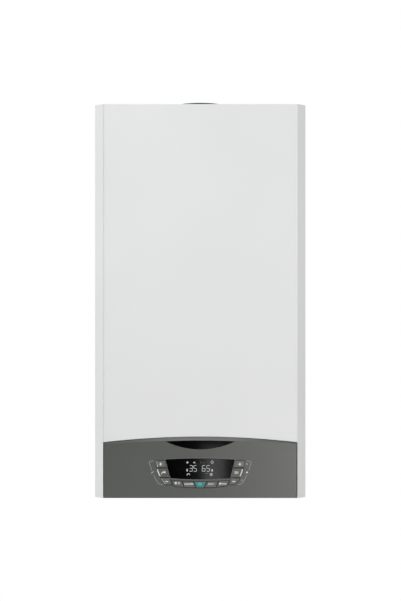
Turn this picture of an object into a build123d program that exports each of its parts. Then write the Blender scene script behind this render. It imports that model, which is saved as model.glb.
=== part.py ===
from build123d import *
import math
import os

# Wall-hung combi boiler, built as its real pieces.
# X runs to the right seen from the front, Z runs up and the wall is the plane Y = 0.
# A depth is measured from the wall towards the room, so depth d lies at Y = -d.
# A height is measured up from the casing's bottom edge.
# The origin is midway between the two wall screws of the hanging bracket.

os.makedirs("parts", exist_ok=True)

# Casing
casing_width = 400.0
casing_height = 745.0
casing_depth = 319.0
bracket_drop = 60.0  # wall screws below the casing's top
sheet = 1.0  # casing sheet
frame_sheet = 1.5  # frame sheet
cover_reach = 68.0  # how far the front cover's sides reach back
corner_bevel = 16.5
crease_width = 2.0
crease_step = 2.0  # front face behind the ridges of the corner strips
bend_radius = 2.0
lap_gap = 0.8  # between the cover and the joggled frame it slips over
seat_gap = 0.2  # between pieces that are slid or dropped into place
leg_return = 14.0  # folds beside the control panel
screw_radius = 2.0
screw_length = 12.0
screw_head_radius = 5.0
screw_head = 3.0
screw_slot = 5.5  # width of the open slots that the cover's screws slide into
screw_room = 16.0  # height of the front flanges over the screws

# Hanging bracket and rear frame
bracket_length = 300.0
bracket_height = 34.0
bracket_sheet = 2.5
screw_spacing = 240.0
screw_hole_radius = 4.5
hook_spacing = 140.0
hook_width = 30.0
hook_rise = 11.5
hook_clearance = 5.0  # tip of the hook in front of the frame plate
slot_room = 2.0  # free room round a hook in its slot
plate_standoff = 15.0  # wall to the back of the frame plate
wall_flange = 20.0
frame_side_flange = 40.0

# Side, top and bottom plates
foot_flange = 20.0
door_flange = 20.0  # front flange beside the control panel
seal_flange = 30.0  # front flange round the sealed chamber
flange_setback = 19.0  # front of the casing to the outer face of the front flanges
joggle_length = 1.8
connection_plate_height = 12.0
connection_plate_gap = 13.0  # between the connection plate and the control panel's tray
connection_lip = 15.0
chamber_headroom = 45.0  # pump body's top to the chamber floor
seal_width = 12.0
seal_margin = 1.0
hole_margin = 1.5  # free ring round a pipe in a plate

# Flue
flue_depth = 159.0
collar_rise = 18.5  # collar above the casing's top
collar_bore = 50.2  # takes the outer pipe of the flue
collar_wall = 4.0
collar_flange_width = 14.0
collar_flange = 3.0
collar_screws = 4
collar_screw_radius = 4.0
flue_bore = 30.2  # takes the inner pipe of the flue
flue_wall = 2.0
flue_socket_length = 45.0
flue_stop = 2.0
flue_pipe_drop = 2.0  # end of the flue pipe below the casing's top
test_cap_radius = 8.0
test_cap_height = 9.0

# Control panel
fascia_side_gap = 0.8
fascia_rim = 16.0  # how far the fascia's rim reaches back
fascia_wall = 2.5
fascia_front = 3.0
fascia_draft = 0.8
band_depth = 3.5  # slope of the lighter band along the arched top
face_top_middle = 109.3
face_top_end = 103.2
arch_top_middle = 116.4
arch_top_end = 105.0
arch_gap = 0.8
tray_margin = 10.7  # fascia's side to the tray's side
tray_bottom = 5.0
tray_top = 97.0
tray_length = 91.0
tray_wall = 2.0
tray_post_radius = 4.0
board_setback = 20.0  # behind the fascia's inner face
board_thickness = 1.6
board_margin = 8.0
board_post_inset = 10.0
lid_width = 120.0
lid_height = 50.0
lid_sheet = 1.5
lid_lap = 8.0
gland_radius = 9.0
gland_length = 16.0
gland_bore = 4.0
gland_x = -120.0
gland_height = 60.0
hinge_inset = 7.0  # pin's axis from the tray's back and bottom
hinge_pin_radius = 3.0
hinge_running_gap = 0.08
hinge_side_gap = 1.0
hinge_boss_radius = 7.0
hinge_boss_length = 5.0
hinge_plate = 2.0
hinge_plate_length = 28.0

# Badge, display and keys, seen from the front
badge_half_width = 65.0
badge_tip_height = 107.2
badge_top_middle = 108.2
badge_bottom_middle = 92.4
badge_recess = 1.2
badge_thickness = 1.4
display_top_half = 64.8
display_bottom_half = 55.0
display_top = 72.2
display_top_middle = 74.2
display_bottom = 37.7
display_bottom_middle = 35.8
display_thickness = 1.6
display_ledge = 3.0
inset_gap = 0.15
module_width = 90.0
module_height = 26.0
module_gap = 0.3  # behind the display's glass
column_gap = 2.2  # display to the key columns
column_top = 71.5
column_outer_top = 83.0
column_outer_middle = 78.5
column_middle_height = 45.5
column_outer_bottom = 65.5
column_bottom = 25.6
plus_key_bottom = 58.2
label_cell_top = 57.0
label_cell_bottom = 39.6
minus_key_top = 38.4
row_half_width = 54.5
row_top_middle = 31.4
row_top_end = 33.8
row_bottom_middle = 20.0
row_bottom_end = 23.2
row_splits = (13.5, 35.3)
row_slope = 0.42  # how far the sides lean towards the middle for each unit of height
row_split_gap = 1.1
key_gap = 0.4
key_proud = 0.6
key_depth = 7.0  # length of a key cap from front to back
key_rim = 0.7  # rim that keeps a key behind the fascia
key_rim_thickness = 1.2
key_travel = 0.8
switch_size = 6.0
label_groove = 0.6

# Sealed chamber
vessel_radius = 168.0
vessel_flat = 128.0
vessel_depth = 85.0
vessel_wall = 1.5
vessel_drop = 20.0  # vessel's middle below the drum's axis
vessel_seam = 10.0
vessel_seam_proud = 2.0
vessel_port_x = 60.0
vessel_port_radius = 8.0
vessel_port_length = 18.0
strap_depth = 107.0
strap_sheet = 3.0
strap_width = 26.0
strap_offset = 66.0
strap_tab = 22.0
drum_radius = 105.0
drum_wall = 2.5
drum_flange_radius = 112.0
drum_flange = 6.0
drum_rings = 3
drum_ring_width = 5.0
drum_ring_proud = 3.0
flue_socket_wall = 3.0
flue_socket_rise = 35.0  # socket's top above the drum
water_port_offset = 45.0
water_port_depth = 165.0
water_port_radius = 13.0
water_port_reach = 118.0
condensate_depth = 140.0
condensate_spigot_radius = 12.0
condensate_spigot_length = 20.0
coil_tube_radius = 8.0
coil_tube_wall = 1.0
coil_pitch = 19.0
coil_back_gap = 6.0
coil_front_gap = 12.0  # last turn to the burner door
door_setback = 42.0  # behind the front flanges
door_thickness = 8.0
door_studs = 6
door_stud_radius = 5.0
door_stud_height = 5.0
door_lining = 10.0
burner_radius = 33.0
burner_wall = 1.0
burner_length = 105.0
burner_slots = 16
burner_slot_width = 2.0
electrode_circle = 66.0
electrode_radius = 5.0
electrode_length = 26.0
electrode_tip = 22.0
electrode_tip_radius = 1.5
electrode_gap = 0.2
sight_glass_radius = 9.0

# Fan, gas and air
fan_x = 40.0
fan_motor_gap = 5.0  # motor above the chamber floor's front flange
fan_thickness = 36.0
fan_radius = 58.0
fan_wall = 2.0
fan_inlet_radius = 26.0
fan_outlet_width = 38.0
fan_outlet_rise = 7.0  # outlet's end above the round of the housing
fan_door_gap = 5.0  # round of the housing to the burner door
wheel_radius = 44.0
wheel_thickness = 24.0
wheel_blades = 12
wheel_gap = 3.0
shaft_radius = 4.0
shaft_gap = 0.08
fan_motor_radius = 34.0
fan_motor_length = 17.0
duct_rise = 36.0  # duct's top above the burner's axis
duct_wall = 2.0
duct_flange_radius = 42.0
duct_flange = 4.0
mixer_radius = 30.0
mixer_length = 52.0
mixer_throat = 18.0
gas_spigot_radius = 8.0
gas_valve_width = 75.0
gas_valve_depth = 70.0
gas_valve_tall = 96.0
gas_valve_offset = 35.0  # right side of the valve to the middle
gas_valve_setback = 110.0
gas_valve_rise = 14.0  # above the chamber floor
coil_can_radius = 15.0
coil_can_height = 24.0
silencer_left = 122.0
silencer_width = 66.0
silencer_pipe_gap = 16.0  # behind the silencer, to the return pipe
silencer_front_gap = 10.0  # to the front flanges
silencer_rise = 40.0  # above the chamber floor
silencer_tall = 300.0
silencer_wall = 2.0
air_pipe_radius = 20.0
silencer_mouth = 40.0

# Hydraulics
connection_pitch = 65.0
connection_depth = 120.0
tail_bottom = -26.0
tail_large_radius = 13.2  # G 3/4
tail_small_radius = 10.5  # G 1/2
tail_thread_length = 16.0
tail_nut_across = 30.0
tail_neck_radius = 9.5
tail_bore = 7.0
manifold_bottom = 40.0
barrel_height = 68.0
barrel_radius = 20.0
barrel_inner = 48.0
barrel_outer = 150.0
socket_radius = 15.0
flow_socket_top = 100.0
vessel_socket_top = 98.0
exchanger_half_width = 98.0
exchanger_back = 26.0
exchanger_front = 88.0
exchanger_bottom = 40.0
exchanger_top = 110.0
exchanger_plates = 12
exchanger_port_x = 80.0
exchanger_port_rise = 15.0
exchanger_port_radius = 10.0
diverter_x = -100.0
diverter_body_radius = 17.0
diverter_bore = 10.0
diverter_top = 112.0
diverter_rod_radius = 3.0
diverter_disc = 6.0
diverter_rod_gap = 0.2
diverter_travel = 10.0
diverter_motor_tall = 48.0
diverter_motor_width = 44.0
pump_x = 105.0
pump_depth = 140.0
pump_height = 165.0
pump_radius = 46.0
pump_back = 118.0
pump_front = 165.0
pump_bore = 36.0
pump_bore_depth = 34.0
pump_wheel_radius = 32.0
pump_wheel_thickness = 16.0
pump_port_radius = 14.0
pump_port_rise = 11.0
pump_motor_radius = 42.0
pump_motor_length = 50.0
pump_fins = 12
vent_x = 68.0
vent_radius = 13.0
vent_height = 38.0
relief_x = 138.0
relief_radius = 11.0
relief_boss = 3.0
relief_share = 0.4  # valve's part of the room between the manifold and the tray
relief_knob_share = 0.25
relief_stem_offset = 5.4  # outlet's axis to the back of the stem's bore
relief_outlet_radius = 8.0
relief_outlet_bottom = -8.0
relief_knob_radius = 15.0
relief_stem_radius = 4.0
knob_flutes = 10
knob_flute_radius = 2.0
filling_x = 97.5
filling_depth = 135.0
filling_radius = 8.0
filling_bottom = 2.0
filling_knob_radius = 13.0
filling_knob_height = 20.0
filling_stem_radius = 4.0
pipe_radius = 9.0
pipe_wall = 1.0
pipe_insert = 8.0
pipe_gap = 0.2
pipe_side = 150.0
pipe_bend = 22.0
vessel_pipe_radius = 5.0
vessel_pipe_bend = 14.0
gas_pipe_radius = 8.0
gas_turn_drop = 66.0  # below the chamber floor
trap_x = 20.0
trap_setback = 25.0  # behind the connection plate's front
trap_radius = 24.0
trap_bottom = 25.0
trap_top = 150.0
trap_outlet_radius = 10.0
trap_outlet_bottom = -10.0
hose_radius = 9.0
hose_turn_drop = 40.0  # below the chamber floor
lead_radius = 3.5
lead_bend = 14.0

# Places worked out from the driving dimensions
bottom_z = bracket_drop - casing_height
chamber_floor_height = pump_height + pump_radius + chamber_headroom
fan_height = chamber_floor_height + seal_flange + fan_motor_gap + fan_motor_radius
fan_top = fan_height + fan_radius
fan_outlet_top = fan_top + fan_outlet_rise
drum_height = fan_top + fan_door_gap + drum_flange_radius
vessel_height = drum_height - vessel_drop
flue_socket_top = drum_height + drum_radius + flue_socket_rise
duct_top = drum_height + duct_rise
gas_valve_bottom = chamber_floor_height + gas_valve_rise
silencer_bottom = chamber_floor_height + silencer_rise
gas_turn_height = chamber_floor_height - gas_turn_drop
hose_turn_height = chamber_floor_height - hose_turn_drop
half_width = casing_width / 2
flange_depth = casing_depth - flange_setback
cover_back = casing_depth - cover_reach
crease_x = half_width - corner_bevel
cover_face = casing_depth - crease_step
cover_inside = cover_face - sheet
lap_half = half_width - sheet - lap_gap  # outer face of the joggled frame edges
lap_top = casing_height - sheet - lap_gap
plate_front = plate_standoff + frame_sheet
frame_half = half_width - sheet - seat_gap
door_front = flange_depth - door_setback
drum_front = door_front - door_thickness
drum_back = strap_depth + strap_sheet
drum_length = drum_front - drum_back
flue_pipe_radius = flue_bore + flue_wall
collar_radius = collar_bore + collar_wall
collar_flange_radius = collar_radius + collar_flange_width
vessel_back = plate_front
vessel_front = vessel_back + vessel_depth
fan_back = door_front
fan_front = fan_back + fan_thickness
gas_valve_back = flange_depth - gas_valve_setback
gas_valve_right = -gas_valve_offset
silencer_back = water_port_depth + pipe_radius + silencer_pipe_gap
silencer_front = flange_depth - silencer_front_gap
fascia_half = crease_x - fascia_side_gap
fascia_back = casing_depth - fascia_rim
fascia_inside = casing_depth - fascia_front
tray_half_width = fascia_half - tray_margin
tray_back = fascia_inside - tray_length
hinge_depth = tray_back + hinge_inset
hinge_height = tray_bottom + hinge_inset
board_depth = fascia_inside - board_setback
connection_plate_depth = tray_back - connection_plate_gap
trap_depth = connection_plate_depth - trap_setback
key_front = casing_depth + key_proud
switch_top = key_front - key_depth - key_travel - seat_gap
barrel_front = connection_depth + barrel_radius
relief_back = barrel_front + relief_boss
relief_room = tray_back - relief_back
relief_length = relief_room * relief_share
relief_knob_length = relief_room * relief_knob_share
outlet_depth = relief_back + relief_length / 2
relief_stem_back = outlet_depth + relief_stem_offset
pipe_hole = pipe_radius + hole_margin


def up(height):
    """The Z of a height above the casing's bottom edge."""
    return bottom_z + height


def at(x, depth, height):
    """The point at a place across, a depth and a height."""
    return (x, -depth, up(height))


def face_at(depth):
    """A plane parallel to the wall, drawn as seen from the front."""
    return Plane.XZ.offset(depth)


def level(height):
    """A horizontal plane, drawn as seen from above."""
    return Plane.XY.offset(up(height))


def block(across, depths, heights, mode=Mode.ADD):
    """A box between two places across, two depths and two heights."""
    middle = at(sum(across) / 2, sum(depths) / 2, sum(heights) / 2)
    with Locations(middle):
        Box(across[1] - across[0], depths[1] - depths[0], heights[1] - heights[0], mode=mode)


def bar_up(x, depth, heights, radius, mode=Mode.ADD):
    """A round bar along Z."""
    with Locations(at(x, depth, heights[0])):
        Cylinder(
            radius,
            heights[1] - heights[0],
            align=(Align.CENTER, Align.CENTER, Align.MIN),
            mode=mode,
        )


def bar_forward(x, height, depths, radius, mode=Mode.ADD):
    """A round bar from the wall side towards the room."""
    with Locations(face_at(depths[0]).location * Location((x, up(height), 0))):
        Cylinder(radius, depths[1] - depths[0], align=(Align.CENTER, Align.CENTER, Align.MIN), mode=mode)


def bar_across(depth, height, across, radius, mode=Mode.ADD):
    """A round bar along X."""
    with Locations(Plane.YZ.offset(across[0]).location * Location((-depth, up(height), 0))):
        Cylinder(radius, across[1] - across[0], align=(Align.CENTER, Align.CENTER, Align.MIN), mode=mode)


def bent_tube(points, bend, radius, wall):
    """A tube along straight runs joined by arcs; a wall of 0 makes it solid."""
    with BuildLine() as route:
        FilletPolyline(*points, radius=bend)
    with BuildSketch(Plane(route.line @ 0, z_dir=route.line % 0)) as section:
        Circle(radius)
        if wall:
            Circle(radius - wall, mode=Mode.SUBTRACT)
    sweep(section.sketch, path=route.line)


def finish(piece, node):
    """Labels a piece and writes it as its own file."""
    piece.part.label = node
    export_step(piece.part, f"parts/{node}.step")


# ---------------------------------------------------------------- hanging

hook_top = bracket_height / 2
tongue_front = plate_front + hook_clearance

with BuildPart() as wall_bracket:
    with BuildSketch(Plane.XZ):
        RectangleRounded(bracket_length, bracket_height, bend_radius)
        with GridLocations(screw_spacing, 0, 2, 1):
            Circle(screw_hole_radius, mode=Mode.SUBTRACT)
    extrude(amount=bracket_sheet)
    for side in (-1, 1):
        middle = side * hook_spacing / 2
        with BuildSketch(Plane.YZ.offset(middle)):
            with BuildLine():
                Polyline(
                    (0, hook_top - bracket_sheet),
                    (-tongue_front - bracket_sheet, hook_top - bracket_sheet),
                    (-tongue_front - bracket_sheet, hook_top + hook_rise),
                    (-tongue_front, hook_top + hook_rise),
                    (-tongue_front, hook_top),
                    (0, hook_top),
                    close=True,
                )
            make_face()
        extrude(amount=hook_width / 2, both=True)
finish(wall_bracket, "wall_bracket")

frame_line = frame_sheet / 2
web_x = frame_half - wall_flange
rear_frame_bottom = connection_plate_height + frame_sheet
rear_frame_top = casing_height - sheet

with BuildPart() as rear_frame:
    with BuildSketch(level(rear_frame_bottom)):
        with BuildLine():
            Polyline(
                (-frame_half + frame_line, -frame_side_flange),
                (-frame_half + frame_line, -frame_line),
                (-web_x, -frame_line),
                (-web_x, -plate_front + frame_line),
                (web_x, -plate_front + frame_line),
                (web_x, -frame_line),
                (frame_half - frame_line, -frame_line),
                (frame_half - frame_line, -frame_side_flange),
            )
        trace(line_width=frame_sheet)
    extrude(amount=rear_frame_top - rear_frame_bottom)
    with BuildSketch(Plane.XZ):
        for side in (-1, 1):
            slot_low = hook_top - bracket_sheet - hook_rise - slot_room
            with Locations((side * hook_spacing / 2, (slot_low + hook_top) / 2)):
                Rectangle(hook_width + 2 * slot_room, hook_top - slot_low)
    extrude(amount=plate_front + sheet, mode=Mode.SUBTRACT)
finish(rear_frame, "rear_frame")


# ---------------------------------------------------------------- side, top and bottom plates

joggle_start = cover_back - seat_gap - joggle_length
joggle_end = joggle_start + joggle_length
panel_top = lap_top
flange_back = flange_depth - sheet
raised_foot = sheet + seat_gap
screw_x = half_width - foot_flange / 2
screw_depth = flange_depth - foot_flange + seal_margin


def side_panel(side):
    """The left (-1) or right (1) side panel with its joggled front edge and its flanges."""
    outer = side * (half_width - sheet / 2)
    lapped = side * (lap_half - sheet / 2)
    seal_edge = side * (lap_half - seal_flange)
    with BuildPart() as panel:
        with BuildSketch(level(0)):
            with BuildLine():
                Polyline(
                    (outer, 0),
                    (outer, -joggle_start),
                    (lapped, -joggle_end),
                    (lapped, -flange_depth + sheet / 2),
                    (seal_edge, -flange_depth + sheet / 2),
                )
            trace(line_width=sheet)
        extrude(amount=casing_height)
        foot_inner = side * (half_width - foot_flange)
        foot = sorted((foot_inner, outer))
        front_foot = sorted((foot_inner, lapped))
        block(foot, (sheet, joggle_start), (0, sheet))
        over_cover = sorted((foot_inner - side * sheet, side * (half_width + sheet)))
        block(
            over_cover,
            (joggle_end - sheet / 2, flange_depth + sheet),
            (-sheet, raised_foot),
            Mode.SUBTRACT,
        )
        block(front_foot, (joggle_start, flange_back - sheet), (raised_foot, raised_foot + sheet))
        # the front flange leaves room for the cover screws, the control panel and the top plate
        inside = sorted((seal_edge - side * sheet, side * (lap_half - sheet)))
        beside_controls = sorted((seal_edge - side * sheet, side * (lap_half - door_flange)))
        flange_room = (flange_back - sheet / 2, flange_depth + sheet)
        block(inside, flange_room, (0, screw_room), Mode.SUBTRACT)
        block(beside_controls, flange_room, (0, chamber_floor_height), Mode.SUBTRACT)
        block(inside, flange_room, (lap_top - sheet - seat_gap, casing_height + sheet), Mode.SUBTRACT)
        above = sorted((0.0, side * (half_width + sheet)))
        block(above, (joggle_start + joggle_length / 2, flange_depth + sheet),
              (panel_top, casing_height + sheet), Mode.SUBTRACT)
        slot = (side * screw_x - screw_slot / 2, side * screw_x + screw_slot / 2)
        block(slot, (screw_depth, flange_depth), (0, raised_foot + 2 * sheet), Mode.SUBTRACT)
        bar_up(side * screw_x, screw_depth, (0, raised_foot + 2 * sheet), screw_slot / 2, Mode.SUBTRACT)
    return panel


left_side_panel = side_panel(-1)
finish(left_side_panel, "left_side_panel")
right_side_panel = side_panel(1)
finish(right_side_panel, "right_side_panel")

lap_plate_half = lap_half - sheet - seat_gap
top_line = casing_height - sheet / 2
lap_line = lap_top - sheet / 2

with BuildPart() as top_plate:
    with BuildSketch(Plane.YZ):
        with BuildLine():
            Polyline(
                (0, up(top_line)),
                (-joggle_start, up(top_line)),
                (-joggle_end, up(lap_line)),
                (-flange_depth + sheet / 2, up(lap_line)),
                (-flange_depth + sheet / 2, up(lap_top - seal_flange)),
            )
        trace(line_width=sheet)
    extrude(amount=lap_plate_half, both=True)
    block((-frame_half, frame_half), (0, joggle_start - sheet), (casing_height - sheet, casing_height))
    for side in (-1, 1):
        corner = sorted((side * (lap_half - seal_flange - seat_gap), side * half_width))
        block(corner, (flange_back - seat_gap, flange_depth + sheet),
              (0, lap_top - sheet - seat_gap), Mode.SUBTRACT)
    bar_up(0, flue_depth, (lap_top - sheet, casing_height), collar_bore, Mode.SUBTRACT)
finish(top_plate, "top_plate")

floor_top = chamber_floor_height + sheet
gas_inlet_x = gas_valve_right - gas_valve_width / 2
gas_inlet_depth = gas_valve_back + gas_pipe_radius * 2
vessel_pipe_depth = (vessel_back + vessel_front) / 2

with BuildPart() as chamber_floor:
    with BuildSketch(Plane.YZ):
        with BuildLine():
            Polyline(
                (-plate_front - seat_gap, up(chamber_floor_height + sheet / 2)),
                (-flange_depth + sheet / 2, up(chamber_floor_height + sheet / 2)),
                (-flange_depth + sheet / 2, up(chamber_floor_height + seal_flange)),
            )
        trace(line_width=sheet)
    extrude(amount=lap_plate_half, both=True)
    for side in (-1, 1):
        corner = sorted((side * (lap_half - seal_flange - seat_gap), side * half_width))
        block(corner, (flange_back - seat_gap, flange_depth + sheet),
              (chamber_floor_height - sheet, chamber_floor_height + seal_flange + sheet), Mode.SUBTRACT)
        behind = sorted((side * (frame_half - frame_sheet - seat_gap), side * half_width))
        block(behind, (0, frame_side_flange + seat_gap),
              (chamber_floor_height - sheet, floor_top + sheet), Mode.SUBTRACT)
        bar_up(
            side * pipe_side,
            water_port_depth,
            (chamber_floor_height, floor_top),
            pipe_hole,
            Mode.SUBTRACT,
        )
    for x, depth, radius in (
        (gas_inlet_x, gas_inlet_depth, gas_pipe_radius),
        (0, condensate_depth, hose_radius),
        (vessel_port_x, vessel_pipe_depth, vessel_pipe_radius),
    ):
        bar_up(x, depth, (chamber_floor_height, floor_top), radius + hole_margin, Mode.SUBTRACT)
finish(chamber_floor, "chamber_floor")

tail_places = [(index - 2) * connection_pitch for index in range(5)]
tail_radii = (
    tail_large_radius,
    tail_small_radius,
    tail_large_radius,
    tail_small_radius,
    tail_large_radius,
)
plate_top = connection_plate_height + frame_sheet

with BuildPart() as connection_plate:
    block((-frame_half, frame_half), (0, connection_plate_depth), (connection_plate_height, plate_top))
    block((-frame_half, frame_half), (connection_plate_depth - frame_sheet, connection_plate_depth),
          (connection_plate_height, connection_plate_height + connection_lip))
    through = (connection_plate_height - frame_sheet, plate_top + frame_sheet)
    for x in tail_places:
        bar_up(x, connection_depth, through, tail_neck_radius + pipe_gap, Mode.SUBTRACT)
    bar_up(filling_x, filling_depth, through, filling_radius + pipe_gap, Mode.SUBTRACT)
    bar_up(trap_x, trap_depth, through, trap_outlet_radius + pipe_gap, Mode.SUBTRACT)
    bar_up(relief_x, outlet_depth, through, relief_outlet_radius + pipe_gap, Mode.SUBTRACT)
finish(connection_plate, "connection_plate")


# ---------------------------------------------------------------- flue

collar_top = casing_height + collar_rise
flange_middle = collar_radius + collar_flange_width / 2

with BuildPart() as flue_collar:
    bar_up(0, flue_depth, (casing_height, casing_height + collar_flange), collar_flange_radius)
    bar_up(0, flue_depth, (casing_height, collar_top), collar_radius)
    fillet(flue_collar.edges().filter_by(GeomType.CIRCLE).group_by(Axis.Z)[-1], radius=collar_wall * 0.3)
    bar_up(0, flue_depth, (casing_height, collar_top), collar_bore, Mode.SUBTRACT)
    with BuildSketch(level(casing_height + collar_flange)):
        with Locations((0, -flue_depth)):
            with PolarLocations(flange_middle, collar_screws, start_angle=45):
                Circle(collar_screw_radius)
    extrude(amount=collar_screw_radius / 2)
    for side in (-1, 1):
        cap_heights = (casing_height, casing_height + test_cap_height)
        bar_up(side * flange_middle, flue_depth, cap_heights, test_cap_radius)
finish(flue_collar, "flue_collar")

flue_pipe_bottom = drum_height + drum_radius + flue_socket_wall
flue_pipe_top = casing_height - flue_pipe_drop

with BuildPart() as flue_pipe:
    bar_up(0, flue_depth, (flue_pipe_bottom, flue_pipe_top), flue_pipe_radius)
    bar_up(0, flue_depth, (flue_pipe_top - flue_socket_length, flue_pipe_top), flue_bore, Mode.SUBTRACT)
    bar_up(0, flue_depth, (flue_pipe_bottom, flue_pipe_top), flue_bore - flue_stop, Mode.SUBTRACT)
finish(flue_pipe, "flue_pipe")


# ---------------------------------------------------------------- front cover

def cover_section(height, back, inset):
    """The cover's plan outline with its bevelled corner strips and creases, drawn inwards by inset."""
    half = [
        (half_width, -back),
        (half_width, -casing_depth + corner_bevel),
        (crease_x, -casing_depth),
        (crease_x - crease_width, -cover_face),
    ]
    mirrored = [(-x, y) for x, y in reversed(half)]
    with BuildSketch(level(height)) as section:
        with BuildLine():
            Polyline(*half, *mirrored, close=True)
        make_face()
        corners = section.vertices().filter_by(lambda v: -v.Y > cover_back + sheet)
        fillet(corners.filter_by(lambda v: abs(v.X) > half_width - sheet), radius=bend_radius)
        if inset:
            offset(amount=-inset, kind=Kind.INTERSECTION)
    return section.sketch


leg_top = arch_top_end + arch_gap

with BuildPart() as front_cover:
    extrude(cover_section(0, cover_back, 0), amount=casing_height)
    rim_edges = front_cover.edges().group_by(Axis.Z)[-1].filter_by(
        lambda e: -e.center().Y > cover_back + sheet,
    )
    fillet(rim_edges, radius=sheet)
    foot_edges = front_cover.edges().group_by(Axis.Z)[0].filter_by(
        lambda e: -e.center().Y > cover_back + sheet,
    )
    fillet(foot_edges.filter_by(lambda e: abs(e.center().X) > crease_x), radius=sheet)
    extrude(
        cover_section(sheet, cover_back - 2 * sheet, sheet),
        amount=casing_height - 2 * sheet,
        mode=Mode.SUBTRACT,
    )
    with BuildSketch(face_at(cover_back - sheet)):
        with BuildLine():
            arch = ThreePointArc(
                (-crease_x, up(arch_top_end + arch_gap)),
                (0, up(arch_top_middle + arch_gap)),
                (crease_x, up(arch_top_end + arch_gap)),
            )
            Polyline(arch @ 1, (crease_x, up(-sheet)), (-crease_x, up(-sheet)), arch @ 0)
        make_face()
    extrude(amount=cover_reach + 2 * sheet, mode=Mode.SUBTRACT)
    for side in (-1, 1):
        leg = sorted((side * crease_x, side * (crease_x + sheet)))
        block(leg, (casing_depth - leg_return, casing_depth - sheet), (0, leg_top + crease_width))
        bar_up(side * screw_x, screw_depth, (-sheet, 2 * sheet), screw_radius + seat_gap, Mode.SUBTRACT)
finish(front_cover, "front_cover")

seal_half = lap_half - seal_flange + seal_margin + seal_width
seal_low = chamber_floor_height + seal_flange - seal_margin - seal_width
seal_high = lap_top - seal_flange + seal_margin + seal_width

with BuildPart() as cover_seal:
    with BuildSketch(face_at(flange_depth)):
        with Locations((0, up((seal_low + seal_high) / 2))):
            RectangleRounded(2 * seal_half, seal_high - seal_low, seal_width)
            Rectangle(
                2 * (seal_half - seal_width),
                seal_high - seal_low - 2 * seal_width,
                mode=Mode.SUBTRACT,
            )
    extrude(amount=cover_inside - flange_depth - seat_gap)
finish(cover_seal, "cover_seal")

with BuildPart() as cover_screws:
    for side in (-1, 1):
        bar_up(side * screw_x, screw_depth, (-screw_head, 0), screw_head_radius)
        bar_up(side * screw_x, screw_depth, (0, screw_length), screw_radius)
        block(
            (side * screw_x - screw_head_radius, side * screw_x + screw_head_radius),
            (screw_depth - sheet / 2, screw_depth + sheet / 2),
            (-screw_head, -screw_head + sheet),
            Mode.SUBTRACT,
        )
finish(cover_screws, "cover_screws")


# ---------------------------------------------------------------- control panel

def arched_outline(depth, inset, top_end, top_middle):
    """The fascia's outline seen from the front, with its arched top edge."""
    edge = fascia_half - inset
    with BuildSketch(face_at(depth)) as outline:
        with BuildLine():
            arch = ThreePointArc((-edge, up(top_end)), (0, up(top_middle)), (edge, up(top_end)))
            Polyline(arch @ 1, (edge, up(inset)), (-edge, up(inset)), arch @ 0)
        make_face()
    return outline.sketch


def badge_outline(depth, inset):
    """The crescent of the badge."""
    with BuildSketch(face_at(depth)) as outline:
        with BuildLine():
            tips = [(side * badge_half_width, up(badge_tip_height)) for side in (-1, 1)]
            ThreePointArc(tips[0], (0, up(badge_top_middle)), tips[1])
            ThreePointArc(tips[1], (0, up(badge_bottom_middle)), tips[0])
        make_face()
        if inset:
            offset(amount=-inset, kind=Kind.INTERSECTION)
    return outline.sketch


def display_outline(depth, inset):
    """The display: a trapezium whose top and bottom edges bow outwards."""
    with BuildSketch(face_at(depth)) as outline:
        with BuildLine():
            top = ThreePointArc(
                (-display_top_half, up(display_top)),
                (0, up(display_top_middle)),
                (display_top_half, up(display_top)),
            )
            bottom = ThreePointArc(
                (display_bottom_half, up(display_bottom)),
                (0, up(display_bottom_middle)),
                (-display_bottom_half, up(display_bottom)),
            )
            Line(top @ 1, bottom @ 0)
            Line(bottom @ 1, top @ 0)
        make_face()
        if inset:
            offset(amount=-inset, kind=Kind.INTERSECTION)
    return outline.sketch


display_slope = (display_top_half - display_bottom_half) / (display_top - display_bottom)


def column_inner(height):
    """Inner edge of the key columns, which runs beside the display's slanted side."""
    return display_top_half + column_gap + display_slope * (height - display_top)


def column_cell(side, depth, low, high, inset):
    """One cell of the left (-1) or right (1) key column, between two heights."""
    with BuildSketch(face_at(depth)) as cell:
        with BuildLine():
            outer = ThreePointArc(
                (side * column_outer_top, up(column_top)),
                (side * column_outer_middle, up(column_middle_height)),
                (side * column_outer_bottom, up(column_bottom)),
            )
            Polyline(
                outer @ 1,
                (side * column_inner(column_bottom), up(column_bottom)),
                (side * column_inner(column_top), up(column_top)),
                outer @ 0,
            )
        make_face()
        with Locations((0, up((low + high) / 2))):
            Rectangle(2 * casing_width, high - low, mode=Mode.INTERSECT)
        if inset:
            offset(amount=-inset, kind=Kind.INTERSECTION)
    return cell.sketch


def row_cell(left, right, depth, inset):
    """One cell of the arched key row; its slanted sides lean towards the middle at the bottom."""

    def leaning(x, height):
        inwards = row_slope * (row_top_end - height)
        return (x - inwards if x > 0 else x + inwards, up(height))

    side_inset = inset * (1 + row_slope**2) ** 0.5
    half_width = row_half_width - side_inset
    left, right = left + side_inset, right - side_inset
    over = row_top_end + row_split_gap
    under = row_bottom_middle - row_split_gap

    with BuildSketch(face_at(depth)) as cell:
        with BuildLine():
            top = ThreePointArc(
                leaning(-half_width, row_top_end - inset),
                (0, up(row_top_middle - inset)),
                leaning(half_width, row_top_end - inset),
            )
            bottom = ThreePointArc(
                leaning(half_width, row_bottom_end + inset),
                (0, up(row_bottom_middle + inset)),
                leaning(-half_width, row_bottom_end + inset),
            )
            Line(top @ 1, bottom @ 0)
            Line(bottom @ 1, top @ 0)
        make_face()
        with BuildLine(mode=Mode.PRIVATE) as sides:
            Polyline(
                leaning(left, over),
                leaning(right, over),
                leaning(right, under),
                leaning(left, under),
                close=True,
            )
        make_face(sides.edges(), mode=Mode.INTERSECT)
    return cell.sketch


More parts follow.
